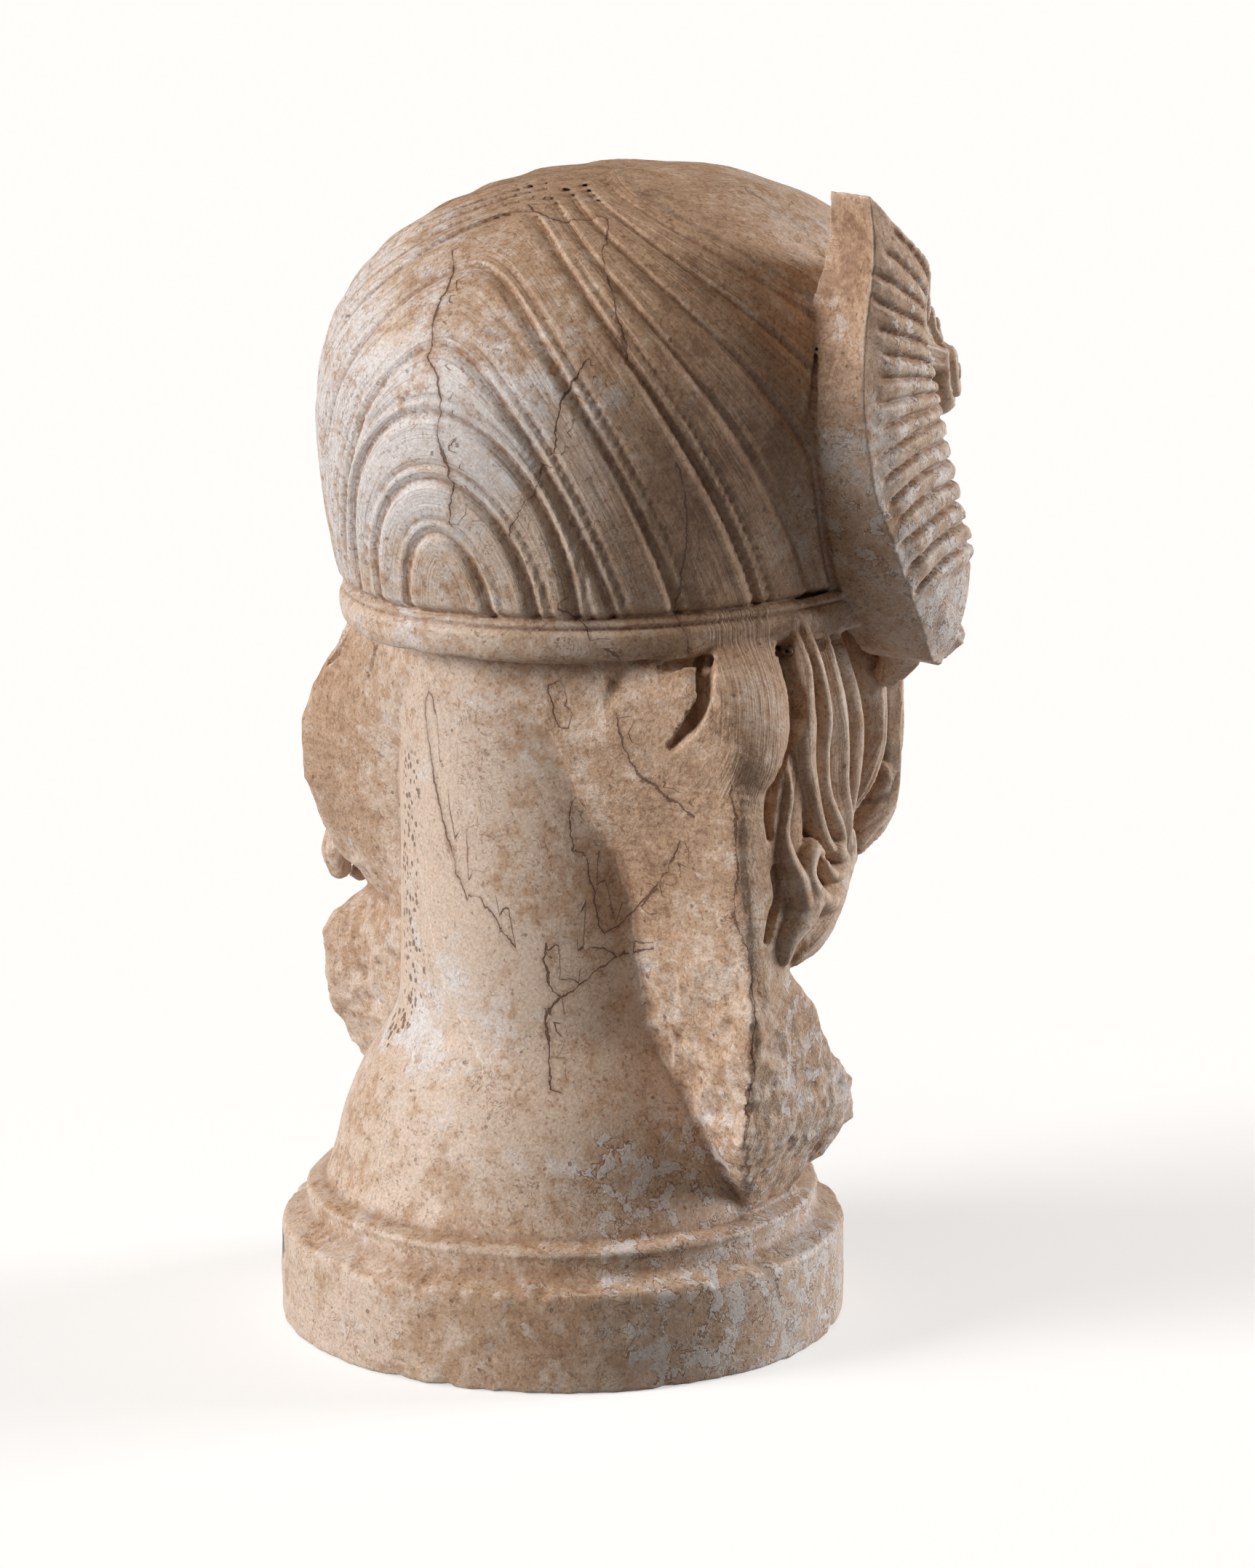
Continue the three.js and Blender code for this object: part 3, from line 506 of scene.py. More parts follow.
# Rock holds the two heights between which the tooled face turns to broken stone.
def massDistance(p, hand, levels, rock):
    side, front, up = mirror(p, hand).T
    ups, *table = np.array(levels, float)[::-1].T
    table = [np.interp(up, ups, column) for column in table]
    corners = list(zip(table[::2], table[1::2]))
    edges = []
    for (ax, ay), (bx, by) in zip(corners, corners[1:] + corners[:1]):
        ex, ey = bx - ax, by - ay
        edges.append(((side - ax) * ey - (front - ay) * ex) / np.maximum(np.hypot(ex, ey), 1e-6))
    d = massRound * np.log(sum(np.exp(np.clip(e, -40, 40) / massRound) for e in edges))
    ridge = np.clip((d - np.max(edges, axis=0)) / 1.2, 0, 1)
    d = np.maximum(np.maximum(d, up - ups[-1]), ups[0] - up)
    skin = np.abs(d) < 9
    q = p[skin]
    broken = step(*rock, q[:, 2] + 0.6 * q[:, 1])
    lumps = 1.5 * noise(q, 24.0, 2.2) + 0.8 * noise(q, 9.0, 5.5)
    sharp = 2.6 * np.abs(noise(q, 13.0, 8.8)) + 1.2 * np.abs(noise(q, 5.5, 3.9)) + 0.5 * noise(q, 2.9, 1.1)
    chips = ridge[skin] * (0.7 * noise(q, 6.0, 5.9) + 0.4)
    wander = q[:, 2] + 0.16 * q[:, 1] + 3 * noise(q, 30.0, 6.1) + 0.8 * noise(q, 9.0, 1.4)
    furrow = chisel["depth"] * np.cos(2 * math.pi * wander / chisel["furrow"])
    furrow = furrow * step(-0.1, 0.4, noise(q, 26.0, 4.9)) * step(165, 210, q[:, 2])
    relief = lumps * (0.5 + 0.6 * broken) + (sharp - 2.2) * broken + chips
    d[skin] += relief + furrow * (1 - 0.6 * broken) + 0.25 * noise(q, 4.5)
    return d


addForm((-8, -68, 58), (122, 64, 293), lambda p: massDistance(p, 1, nearMass, (166, 128)), soft=5.0)
addForm((-120, -62, 74), (-28, 56, 293), lambda p: massDistance(p, -1, farMass, (215, 130)), soft=4.0)

# Hair below the horns: its outline from above, and how far it swells out of that at each height.
hairOutline = smoothLine([(115, -14), (118, 2), (114, 28), (106, 50), (94, 66), (76, 76), (50, 80), (20, 80)], 26)
hairOutline = np.vstack([hairOutline, hairOutline[::-1] * (-1, 1)])
hairLevels = (160, 168, 178, 190, 215, 245, 260, 276, 292), (-50, -36, -26, -19, -11, -7, -9, -15, -26)


def hairDistance(p):
    side, front, up = p.T
    swell = np.interp(up, *hairLevels)
    slope = (np.interp(up + 2, *hairLevels) - swell) / 2
    d = (polygonDistance(side, front, hairOutline) - swell) / np.sqrt(1 + slope**2)
    foot, *_, top = hairLevels[0]
    return np.maximum(np.maximum(d, up - top), foot - up) + 0.4 * noise(p, 9.0)


addForm((-118, -20, 160), (118, 82, 292), hairDistance, soft=2.0)

beardLevels = np.array([  # up, half width, forward reach
    (146, 22, 128), (155, 36, 138), (166, 47, 145), (184, 55, 152), (202, 64, 160), (218, 69, 166),
    (240, 71, 168), (262, 70, 164), (282, 63, 154), (300, 55, 136),
], float)
beardHeart = 98.0


def spanAt(levels, up):  # half width and forward reach
    return np.interp(up, levels[:, 0], levels[:, 1]), np.interp(up, levels[:, 0], levels[:, 2])


def layered(p, levels, heartFront, back, power):  # an oval whose width and reach change with height
    side, front, up = p.T
    wide, reach = spanAt(levels, up)
    long = np.where(front > heartFront, reach - heartFront, back * np.clip(wide / 62, 0.25, 1))
    x, y = side / wide, (front - heartFront) / long
    k = (np.abs(x) ** power + np.abs(y) ** power) ** (1 / power) + 1e-6
    size = 1 / np.sqrt((x / wide) ** 2 + (y / long) ** 2 + 1e-12) * np.hypot(x, y)
    slope = (spanAt(levels, up + 2)[0] - wide) / 2
    d = (k - 1) * size / np.sqrt(1 + slope**2)
    return np.maximum(np.maximum(d, up - levels[-1, 0]), levels[0, 0] - up)


addForm((-76, 30, 146), (76, 174, 300), lambda p: layered(p, beardLevels, beardHeart, 66, 2.0), soft=3.0)

# Locks on the side of the head: line, half widths, half thicknesses, strands and how deep they are combed.
sideLocks = [
    # the broad combed lock behind, which only the near side has, then the long strands from under the horn
    ([(89, -6, 300), (95, -8, 288), (104, -14, 275), (110, -20, 263), (114, -25, 250), (114, -29, 238)],
     (17, 18.5, 19, 18, 14, 7), (4, 6, 8.5, 9, 7, 3), 9, 0.13),
    ([(98, 18, 297), (109, 13, 280), (116, 5, 262), (115.5, 6, 245), (115, 12, 228), (113, 20, 214),
      (111, 30, 204)], (4, 6, 8, 7.5, 6, 5, 4), (4, 6, 6, 6, 6, 6, 5), 1.5, 0.5),
    ([(99, 22, 297), (109, 20, 280), (113, 20, 262), (112, 20, 246), (112, 22, 230), (111, 32, 214),
      (107, 40, 202)], (5, 5, 5, 5, 5, 4.5, 4), (6, 7, 7.5, 7, 7, 7, 6), 1, 0.5),
    ([(97, 36, 297), (105, 33, 280), (109, 34, 262), (108, 38, 246), (109, 37, 230), (103, 48, 214),
      (99, 53, 200)], (6.5, 7, 8, 8, 7.5, 6, 5), (6, 7, 7, 7, 7, 7, 6), 2, 0.6),
    ([(92, 48, 297), (100, 47, 280), (101, 54, 262), (99, 60, 245), (101, 55, 228), (96, 58, 214),
      (93, 60, 200)], (5, 5.5, 6, 6, 5.5, 5, 5), (6, 7, 7, 7, 7, 7, 7), 1, 0.5),
    # the gathered hook
    ([(100, 55, 204), (98, 57, 196), (101, 47, 188), (108, 32, 185), (114, 20, 186), (117.5, 9, 193),
      (118, 4, 202), (116.5, 10, 209), (115, 17, 207)],
     (6, 7, 7.5, 7, 6.5, 6, 5.5, 5, 3.5), (6, 7, 8, 8, 8, 7.5, 7, 6, 4), 1, 0.7),
    ([(112, 32, 204), (111, 37, 198), (113.5, 29, 195), (116, 21, 198), (117, 17, 203)],
     (4.5, 4.5, 4, 3.2, 2.2), (6, 6.5, 6.5, 6, 5), 0, 0),
    # locks that fall behind and under the hook
    ([(113, -4, 249), (115, -5, 234), (115, -8, 220), (116.5, -6, 209), (117, -1, 199), (117, 2, 190)],
     (2.5, 4, 4.5, 5, 6, 6), (4, 6, 6, 7, 8, 8), 1, 0.5),
    ([(117, 4, 196), (117.5, 7, 189), (117, 0, 182), (116, -5, 176), (115, -5, 169)],
     (5, 8, 8, 6.5, 4.5), (6, 8, 8, 7, 5), 1, 0.5),
    ([(98, 50, 194), (103, 43, 185), (108, 30, 177), (112, 16, 171), (113, 5, 166)],
     (6, 8, 8.5, 7, 4), (7, 8, 8, 7, 5), 2, 0.8),
]
beardSide = [  # locks on the side of the beard, seen past the hook
    ([(64, 97, 286), (78, 98, 268), (80, 100, 250), (80, 100, 232), (80, 94, 218), (77, 88, 206)],
     (8, 9, 9, 8, 7, 5), (6, 8, 8, 8, 7, 5), 3, 0.9),
    ([(62, 121, 286), (71, 123, 268), (71, 125, 250), (69, 127, 232), (69, 127, 214), (69, 125, 202),
      (70, 117, 193), (71, 106, 186)], (7, 8, 8, 8, 8, 8, 7, 5), (6, 8, 8, 8, 8, 8, 7, 5), 3, 0.8),
    ([(105, 80, 296), (102, 93, 284), (97, 100, 272), (90, 100, 261)], (8, 11, 10, 5), (9, 10, 9, 6), 3.5, 1.1),
]
channels = [  # drilled between the locks
    ([(89, -20, 294), (94, -30, 280), (95, -37, 267), (89, -42, 256)], (2.2, 3.3, 3.3, 1.5), (7, 9, 7, 2.5)),
    ([(72, -44, 288), (67, -50, 279), (62, -52, 269)], (2.5, 5, 2.5), (5, 7, 3)),
    ([(99, 13, 293), (109, 7, 279), (116, 1, 266), (119, -6, 254), (119, -14, 242), (118.5, -18, 230),
      (118, -17, 219)], (3, 3.5, 3.5, 3.5, 3.5, 3, 1.5), (7, 9, 9, 8, 8, 6, 3)),
    ([(82, 112, 272), (83, 113, 256), (81, 113, 238), (79, 111, 222), (75, 114, 205)],
     (2.2, 2.8, 2.8, 2.4, 1.5), (5, 7, 7, 5, 3)),
    ([(118, -13, 205), (119, -11, 194), (118, -15, 186), (117, -18, 178)], (3, 3, 3, 2), (5, 6, 5, 3)),
]
for hand in (1, -1):
    for line, wide, thick, strands, depth in sideLocks[0 if hand > 0 else 1 :] + beardSide:
        sweep(mirror(line, hand), wide, thick, 1.0, strands=strands, depth=depth)
    for line, wide, thick in channels:
        sweep(mirror(line, hand), wide, thick, 1.2, cut=True)

seam = [(93, 60, 292), (101, 53, 297), (106, 36, 320), (110.6, 23, 351), (111.6, 17, 373), (111, 19, 387),
        (104, 33, 416)]  # where the horn leaves the hair
# Two short drilled slits on the far side, under the band.
slits = [[(-91, -24, 275), (-96, -28, 268), (-102, -27, 262)], [(-64, -40, 276), (-68, -42, 268), (-71, -41, 261)]]
for hand in (1, -1):
    sweep(mirror(seam, hand), (1.2, 1.8, 1.8, 1.2), (1.5, 2.2, 2.2, 1.5), 0.8, cut=True)
for line in slits:
    sweep(line, (1, 2.2, 1), (3, 5, 3), 0.8, cut=True)
addForm((-112, -94, 283), (112, 62, 290), underBand, soft=1.0, cut=True)
addForm((-110, -90, 286), (110, 80, 309), bandDistance, soft=1.0)

# Locks on the front of the beard, in three tiers.
beardTiers = [(262, 208, 6), (222, 172, 6), (188, 150, 4)]  # top, foot, locks on each side


def beardPoint(hand, bearing, up, off):
    wide, reach = spanAt(beardLevels, up)
    a = math.radians(bearing)
    return hand * (wide + off) * math.sin(a), beardHeart + (reach - beardHeart + off) * math.cos(a), up


for hand in (1, -1):
    for tier, (top, foot, many) in enumerate(beardTiers):
        for i in range(many):
            bearing = 7 + 65 * (i + 0.35 * (tier % 2)) / (many - 0.4)
            line = []
            for j in range(7):
                t = j / 6
                sway = 5.0 * math.sin(2 * math.pi * (0.9 * t + 0.23 * i + 0.4 * tier))
                line.append(beardPoint(hand, bearing + sway + 4 * t, top + (foot - top) * t, 1.5 + 4 * t))
            end = np.array(line[-1])  # the tip curls up
            line += [end + (hand * 5.5, 0, 5.0), end + (hand * 4.0, -2, 10.0)]
            wide, thick = (6, 8.5, 9, 8, 7.5, 7, 6, 5, 3), (4, 7, 8, 8, 8, 8, 7, 5, 3)
            sweep(line, wide, thick, 1.0, strands=2, depth=0.7, phase=i)

# Curls that frame the face, from the cheek up to the middle of the forehead.
browCurls = [  # root, belly, tip and half width
    ((72, 88, 338), (79, 108, 318), (73, 120, 294), 13), ((75, 90, 370), (83, 112, 352), (77, 124, 328), 13),
    ((82, 96, 398), (87, 131, 388), (85, 145, 371), 13), ((76, 96, 409), (81, 122, 403), (81, 139, 393), 10),
    ((56, 112, 418), (64, 140, 410), (64, 157, 388), 13), ((36, 124, 429), (41, 156, 420), (44, 172, 394), 13),
    ((13, 132, 433), (15, 166, 424), (19, 181, 396), 13),
]
for hand in (1, -1):
    oval((hand * 68, 112, 385), (17, 30, 34), 5.0)  # hair at the temple, which carries the curls
    for *points, w in browCurls:
        root, belly, tip = mirror(points, hand)
        middle = 0.45 * belly + 0.55 * tip
        facing = unit(middle - (0, 70, 372))
        level = unit(np.cross((0, 0, 1), facing))
        rise = np.cross(facing, level)
        stem = [root, 0.5 * (root + belly) + facing, belly]
        sweep(stem, (w * 0.7, w * 0.9, w * 0.7), (8, 9, 8), 1.2, strands=3, depth=0.9)
        sweep([middle + rise * 3, middle - rise * 3], (w, w), (10, 10), 1.2, outward=facing)
        t = np.linspace(0, 1, 24)[:, None]  # a groove winds in to the curl's middle
        angle, far = hand * (1.2 + 10.5 * t), w * (0.9 - 0.74 * t)
        spiral = middle + facing * 10 * np.sqrt(1 - (far / (w + 1)) ** 2)
        spiral = spiral + far * (level * np.cos(angle) + 1.2 * rise * np.sin(angle))
        sweep(spiral, (1.2, 1.4, 1.2), (2.6, 3.2, 2.6), 0.8, cut=True, outward=facing, count=60)

# The face: line, half widths, half thicknesses and how softly each strip runs into the rest.
face = {
    "brow": ([(5, 174, 343), (20, 178, 349), (42, 169, 352), (61, 149, 343)], (4, 6, 6, 4), (6, 8, 8, 7), 4.0),
    "upperLid": ([(13, 162, 330), (21, 167, 337), (33, 169, 339.5), (44, 163.5, 336.5), (51, 155, 329)],
                 (1.6, 2.4, 2.7, 2.4, 1.6), (3, 4.6, 5.5, 5, 4), 0.9),
    "lowerLid": ([(13, 162, 330), (22, 166, 325), (33, 167, 323.5), (44, 161.5, 326), (51, 155, 329)],
                 (1.4, 1.9, 2.1, 1.9, 1.4), (3, 4.2, 5, 4.6, 4), 0.9),
    "nose": ([(0, 169, 352), (0, 171, 340), (0, 174, 322), (0, 178, 304), (0, 180, 291)],
             (9, 8, 9, 10.5, 11.5), (12, 14.5, 17, 19, 20.5), 4.0),
    "upperLip": ([(-25, 161, 252), (-10, 171, 256.5), (0, 172.5, 255), (10, 171, 256.5), (25, 161, 252)],
                 (2, 4, 3.6, 4, 2), (5, 7, 7, 7, 5), 1.2),
    "lowerLip": ([(-20, 162, 249), (-8, 170, 246.5), (0, 171, 246), (8, 170, 246.5), (20, 162, 249)],
                 (2, 4, 4.6, 4, 2), (5, 7, 7.5, 7, 5), 1.0),
    "moustache": ([(2.5, 172, 268), (14, 174, 264), (29, 167, 255), (42, 158, 239), (48, 155, 224), (44, 160, 217)],
                  (4, 6.5, 7.5, 7, 5, 3), (7, 9, 9.5, 9, 8, 6), 1.2),
}
faceLevels = np.array([
    (196, 38, 144), (222, 50, 162), (250, 60, 168), (275, 66, 171), (300, 70, 172), (328, 72, 172),
    (348, 75, 178), (372, 77, 179), (400, 75, 173), (424, 62, 156), (436, 48, 138),
], float)


def faceDistance(p):
    return layered(p, faceLevels, 84.0, 40, 2.3) + 0.25 * noise(p, 16.0, 3.0)


addForm((-78, 44, 196), (78, 182, 436), faceDistance, soft=4.0)


def faceStrip(name, hand=1, **comb):
    line, wide, thick, soft = face[name]
    sweep(mirror(line, hand), wide, thick, soft, outward=(0, 1, 0), **comb)


eyeSide, eyeUp = 31, 332
for hand in (1, -1):
    oval((hand * eyeSide, 177, eyeUp + 1), (20, 13, 12), 6.0, cut=True)
    faceStrip("brow", hand)
    oval((hand * eyeSide, 157, eyeUp), (14, 14, 11.5), 0.6)
    faceStrip("upperLid", hand)
    faceStrip("lowerLid", hand)
faceStrip("nose")
oval((0, 184, 285.5), (9.5, 16, 9), 3.0)
for hand in (1, -1):
    oval((hand * 10.5, 178, 281.5), (7, 14, 6.8), 2.5)
    oval((hand * 6.2, 189, 275.5), (3, 5, 2.6), 1.0, cut=True)
faceStrip("upperLip")
faceStrip("lowerLip")
for hand in (1, -1):
    faceStrip("moustache", hand, strands=2.5, depth=0.7)
stage("%d forms set out" % len(forms))


# Carving the block.
def carve():
    voxel, cell = carving["voxel"], carving["cell"]
    per = int(round(cell / voxel))
    low = np.array(carving["low"])
    cells = np.ceil((np.array(carving["high"]) - low) / cell).astype(int)
    index = np.stack(np.meshgrid(*[np.arange(n) for n in cells], indexing="ij"), -1).reshape(-1, 3)
    centres = low + (index + 0.5) * cell
    rough = evaluate(centres, np.zeros((1, 3)))[:, 0]
    near = np.abs(rough) < carving["band"]
    stage("%d of %d cells hold the skin" % (near.sum(), len(near)))
    span = (np.arange(per) + 0.5) * voxel - cell / 2
    offsets = np.stack(np.meshgrid(span, span, span, indexing="ij"), -1).reshape(-1, 3)
    field = (np.sign(rough).reshape(cells) * carving["band"]).astype(np.float32)
    for axis in range(3):
        field = np.repeat(field, per, axis)
    shaped = field.reshape(cells[0], per, cells[1], per, cells[2], per)
    ids = index[near]
    for first in range(0, len(ids), carving["cells"]):
        part = ids[first : first + carving["cells"]]
        d = evaluate(low + (part + 0.5) * cell, offsets).reshape(-1, per, per, per)
        shaped[part[:, 0], :, part[:, 1], :, part[:, 2], :] = d
    stage("field filled")
    return field, low + voxel / 2


def largestPart(count, faces):  # the vertices of the biggest connected piece
    label = np.arange(count)
    edges = np.vstack([faces[:, [0, 1]], faces[:, [1, 2]], faces[:, [2, 0]]])
    while True:
        before = label.copy()
        smaller = label[edges].min(1)
        for end in edges.T:
            np.minimum.at(label, end, smaller)
        label = label[label]
        if (label == before).all():
            break
    names, sizes = np.unique(label[faces[:, 0]], return_counts=True)
    return label == names[sizes.argmax()]


def buildHead(field, origin):
    grid = openvdb.FloatGrid(carving["band"])
    grid.copyFromArray(field)
    points, triangles, quads = grid.convertToPolygons(0.0, 0.0)
    quads = quads.astype(np.int64)
    faces = np.vstack([quads[:, [0, 1, 2]], quads[:, [0, 2, 3]], triangles.astype(np.int64).reshape(-1, 3)])
    keep = largestPart(len(points), faces)
    faces = faces[keep[faces[:, 0]]]
    used = np.unique(faces)
    renumber = np.zeros(len(points), np.int64)
    renumber[used] = np.arange(len(used))
    faces, points = renumber[faces], points[used]
    places = (points * carving["voxel"] + origin).astype(np.float64)
    a, b, c = (places[faces[:, k]] for k in range(3))
    if (a * np.cross(b, c)).sum() < 0:
        faces = faces[:, ::-1]
    mesh = bpy.data.meshes.new("hornedHead")
    mesh.vertices.add(len(places))
    mesh.vertices.foreach_set("co", (places * (-0.001, -0.001, 0.001)).ravel())
    mesh.loops.add(faces.size)
    mesh.loops.foreach_set("vertex_index", faces.ravel())
    mesh.polygons.add(len(faces))
    mesh.polygons.foreach_set("loop_start", np.arange(0, faces.size, 3))
    mesh.polygons.foreach_set("loop_total", np.full(len(faces), 3))
    mesh.update()
    mesh.validate()
    head = addObject("hornedHead", mesh)
    stage("%d triangles carved" % len(faces))
    if len(faces) > carving["faces"]:
        fewer = head.modifiers.new("fewer", "DECIMATE")
        fewer.ratio = carving["faces"] / len(faces)
        depsgraph = bpy.context.evaluated_depsgraph_get()
        head.data = bpy.data.meshes.new_from_object(head.evaluated_get(depsgraph))
        head.data.name = "hornedHead"
        head.modifiers.clear()
        bpy.data.meshes.remove(mesh)
    stage("%d triangles kept" % len(head.data.polygons))
    return head


field, fieldOrigin = carve()
head = buildHead(field, fieldOrigin)


def fieldAt(places):
    q = np.clip((places - fieldOrigin) / carving["voxel"], 0, np.array(field.shape) - 1.001)
    base = q.astype(int)
    return blend(field, base, (q - base).astype(np.float32))


def outwardAt(places):
    steps = np.eye(3) * 0.7 * carving["voxel"]
    return unit(np.stack([fieldAt(places + e) - fieldAt(places - e) for e in steps], 1))


# What the marble's colours go by, at every vertex: hollows, edges, breaks, combing and cracks.
farGap, crackReach = 9.0, 7.0  # a gap too wide to matter, and how far a crack can be seen from its line, mm
# Cracks: points as side, front, up along each.
cracks = [
    [(-6, -56, 442), (3, -70, 433), (5, -81, 420), (7, -86, 413), (8, -90, 406), (14, -92, 401), (17, -95, 390),
     (17, -97, 380), (22, -94, 359), (20, -96, 345)],
    [(36, -16, 454), (46, -28, 447), (48, -34, 443), (57, -41, 434), (64, -46, 424), (73, -51, 410),
     (75, -52, 406)],
    [(63, -63, 407), (60, -74, 392), (59, -78, 375)],
    [(90, -41, 367), (91, -38, 357), (91, -36, 342), (89, -35, 326), (85, -34, 313), (83, -32, 306),
     (87, -30, 293)],
    [(54, -79, 368), (53, -81, 361), (49, -83, 354), (43, -86, 342)],
    [(6, -26, 457), (19, -30, 454), (28, -27, 453), (36, -16, 454)],
    [(54, -70, 311), (61, -63, 306), (64, -60, 297), (67, -51, 290)],
    [(37, -55, 277), (40, -55, 267), (42, -54, 259)],
    [(113, -36, 242), (115.5, -35, 221), (113, -32, 190), (119, -29, 173), (119, -28, 160), (119, -28, 123),
     (117.5, -30, 100)],
    [(77, -43, 241), (85, -40, 235), (95, -38, 229)],
    [(89, -37, 217), (79, -34, 202), (64, -30, 186)],
    [(67, -48, 268), (68, -47.5, 256), (75, -44, 243), (80, -42, 236)],
    [(-20, -61, 265), (-17, -62, 246), (-12, -63, 226), (-6, -64, 210), (2, -65, 190), (13, -64, 186),
     (20, -62, 174), (31, -57, 162)],
    [(33, -57, 166), (42, -50, 167), (50, -42, 171), (56, -33, 178), (72, -32, 193)],
    [(35, -55, 166), (36, -54, 155), (42, -50, 149), (50, -42, 159), (56, -33, 165), (69, -27, 169)],
    [(43, -48, 229), (43, -48, 210), (48, -43, 205), (50, -41, 184), (51, -40, 178)],
    [(35, -55, 154), (36, -55, 138), (44, -62, 113)],
]
paleVein = [(-28, -58, 204), (-21, -61, 184), (-13, -64, 161), (-4, -66, 143), (10, -68, 127), (21, -74, 112)]
pitLines = [  # drill and weather pits: how far they reach from the line, and points along it
    (15, [(-30, -57, 240), (-33, -55, 214), (-34, -54, 193), (-34, -55, 166), (-30, -58, 150), (-36, -56, 131),
         (-46, -55, 119)]),
    (7, [(119, 24, 452), (119, 24, 447)]),
    (8, [(118, 24, 438), (118, 24, 426)]),
    (6, [(120, 24, 405), (120, 24, 399)]),
    (6, [(121, 24, 386), (121, 25, 380)]),
]

# Where patina, white stone, ringed crystal patches and a black stain lie, with painted shade and painted light among
# the brown and white spots: side, front, up, reach, amount.
tints = {
    "brown": [
        (0, 10, 470, 62, 0.7), (62, -25, 440, 50, 0.5), (-15, -64, 190, 60, -0.35), (60, -78, 345, 36, -0.4),
        # painted shade: (104, -20, 372) darkens the dome beside the horn, over brown patina there, and (122, 26,
        # 452) darkens the top of the horn's back; painted light: (124, 30, 345) lightens the horn's back where the
        # dome shades it
        (112, 20, 25, 45, -0.4), (104, -20, 372, 44, 0.9), (122, 26, 452, 26, 0.7), (124, 30, 345, 36, -0.5),
        (119, 24, 450, 8, 0.5), (118, 24, 432, 10, 0.6), (120, 24, 402, 8, 0.6), (121, 24, 384, 8, 0.6),
        (130, 50, 425, 40, 0.5), (132, 70, 365, 36, 0.3), (98, -32, 325, 42, 0.6), (30, -70, 425, 28, 0.3),
        (92, -42, 245, 34, 0.4), (-92, -30, 250, 32, 0.4), (-92, -26, 210, 28, 0.35), (62, -97, 24, 26, 0.9),
        # painted shade: (54, -36, 195) darkens the neck in the near mass's shadow, and (104, 8, 298) on the next
        # line darkens the band in the horn's shadow
        (20, -112, 14, 20, 0.4), (112, -20, 262, 26, 0.3), (84, -30, 300, 22, 0.5), (54, -36, 195, 32, 0.6),
        (100, -38, 225, 34, 0.4), (104, 8, 298, 20, 0.7), (116, 4, 215, 26, 0.4), (132, 60, 350, 60, 0.2),
        (114, 10, 130, 50, 0.2), (-96, -28, 230, 40, 0.2), (30, -62, 288, 26, 0.3), (80, 120, 250, 60, 0.3),
        (-40, 60, 474, 50, 0.4), (-80, 100, 30, 40, 0.4),
    ],
    "white": [
        (-62, -72, 400, 62, 1.0), (-35, -98, 355, 52, 0.8), (38, -88, 396, 26, 0.6), (30, -96, 340, 30, 0.3),
        # painted light: (122, 22, 390) lightens the horn's back where the dome shades it
        (126, 92, 292, 34, 0.8), (122, 22, 390, 34, 0.7), (45, -75, 395, 30, 0.35), (112, 20, 25, 40, 0.4),
        (130, 74, 345, 40, 0.6), (112, -20, 14, 36, 0.4), (-28, -60, 120, 40, 0.4), (112, 25, 110, 46, 0.8),
        (-104, 60, 330, 60, 0.4),
    ],
    "rings": [
        (108, -42, 22, 46, 1.0), (112, 24, 24, 44, 0.9), (84, -48, 80, 30, 1.0), (112, 28, 112, 46, 0.8),
        (126, 92, 290, 34, 1.0), (118, 30, 330, 26, 0.6), (132, 62, 350, 44, 0.9), (130, 55, 410, 34, 0.6),
        (-30, -110, 20, 34, 0.4), (100, -50, 52, 26, 0.7), (-40, 105, 25, 40, 0.6),
    ],
    "black": [(-84, -80, 30, 9, 0.8), (-78, -86, 34, 7, 0.6)],
}


def besideLine(places, line, reach):  # signed gap across the surface, and how well inside the reach
    if len(line) < 30:
        line = smoothLine(line, 4 * len(line))
    away = line[:-1] - (0, 20, 0)
    away[:, 2] *= 0.15
    across = unit(np.cross(np.diff(line, axis=0), away))
    gap, near = np.full(len(places), farGap), np.zeros(len(places))
    rows = np.flatnonzero(((places > line.min(0) - reach) & (places < line.max(0) + reach)).all(1))
    k, _, off, past = nearestOn(line, places[rows])
    gap[rows] = (off * across[k]).sum(1)
    near[rows] = 1 - step(reach * 0.5, reach, np.linalg.norm(off, axis=1) + 2 * past)
    return gap, near


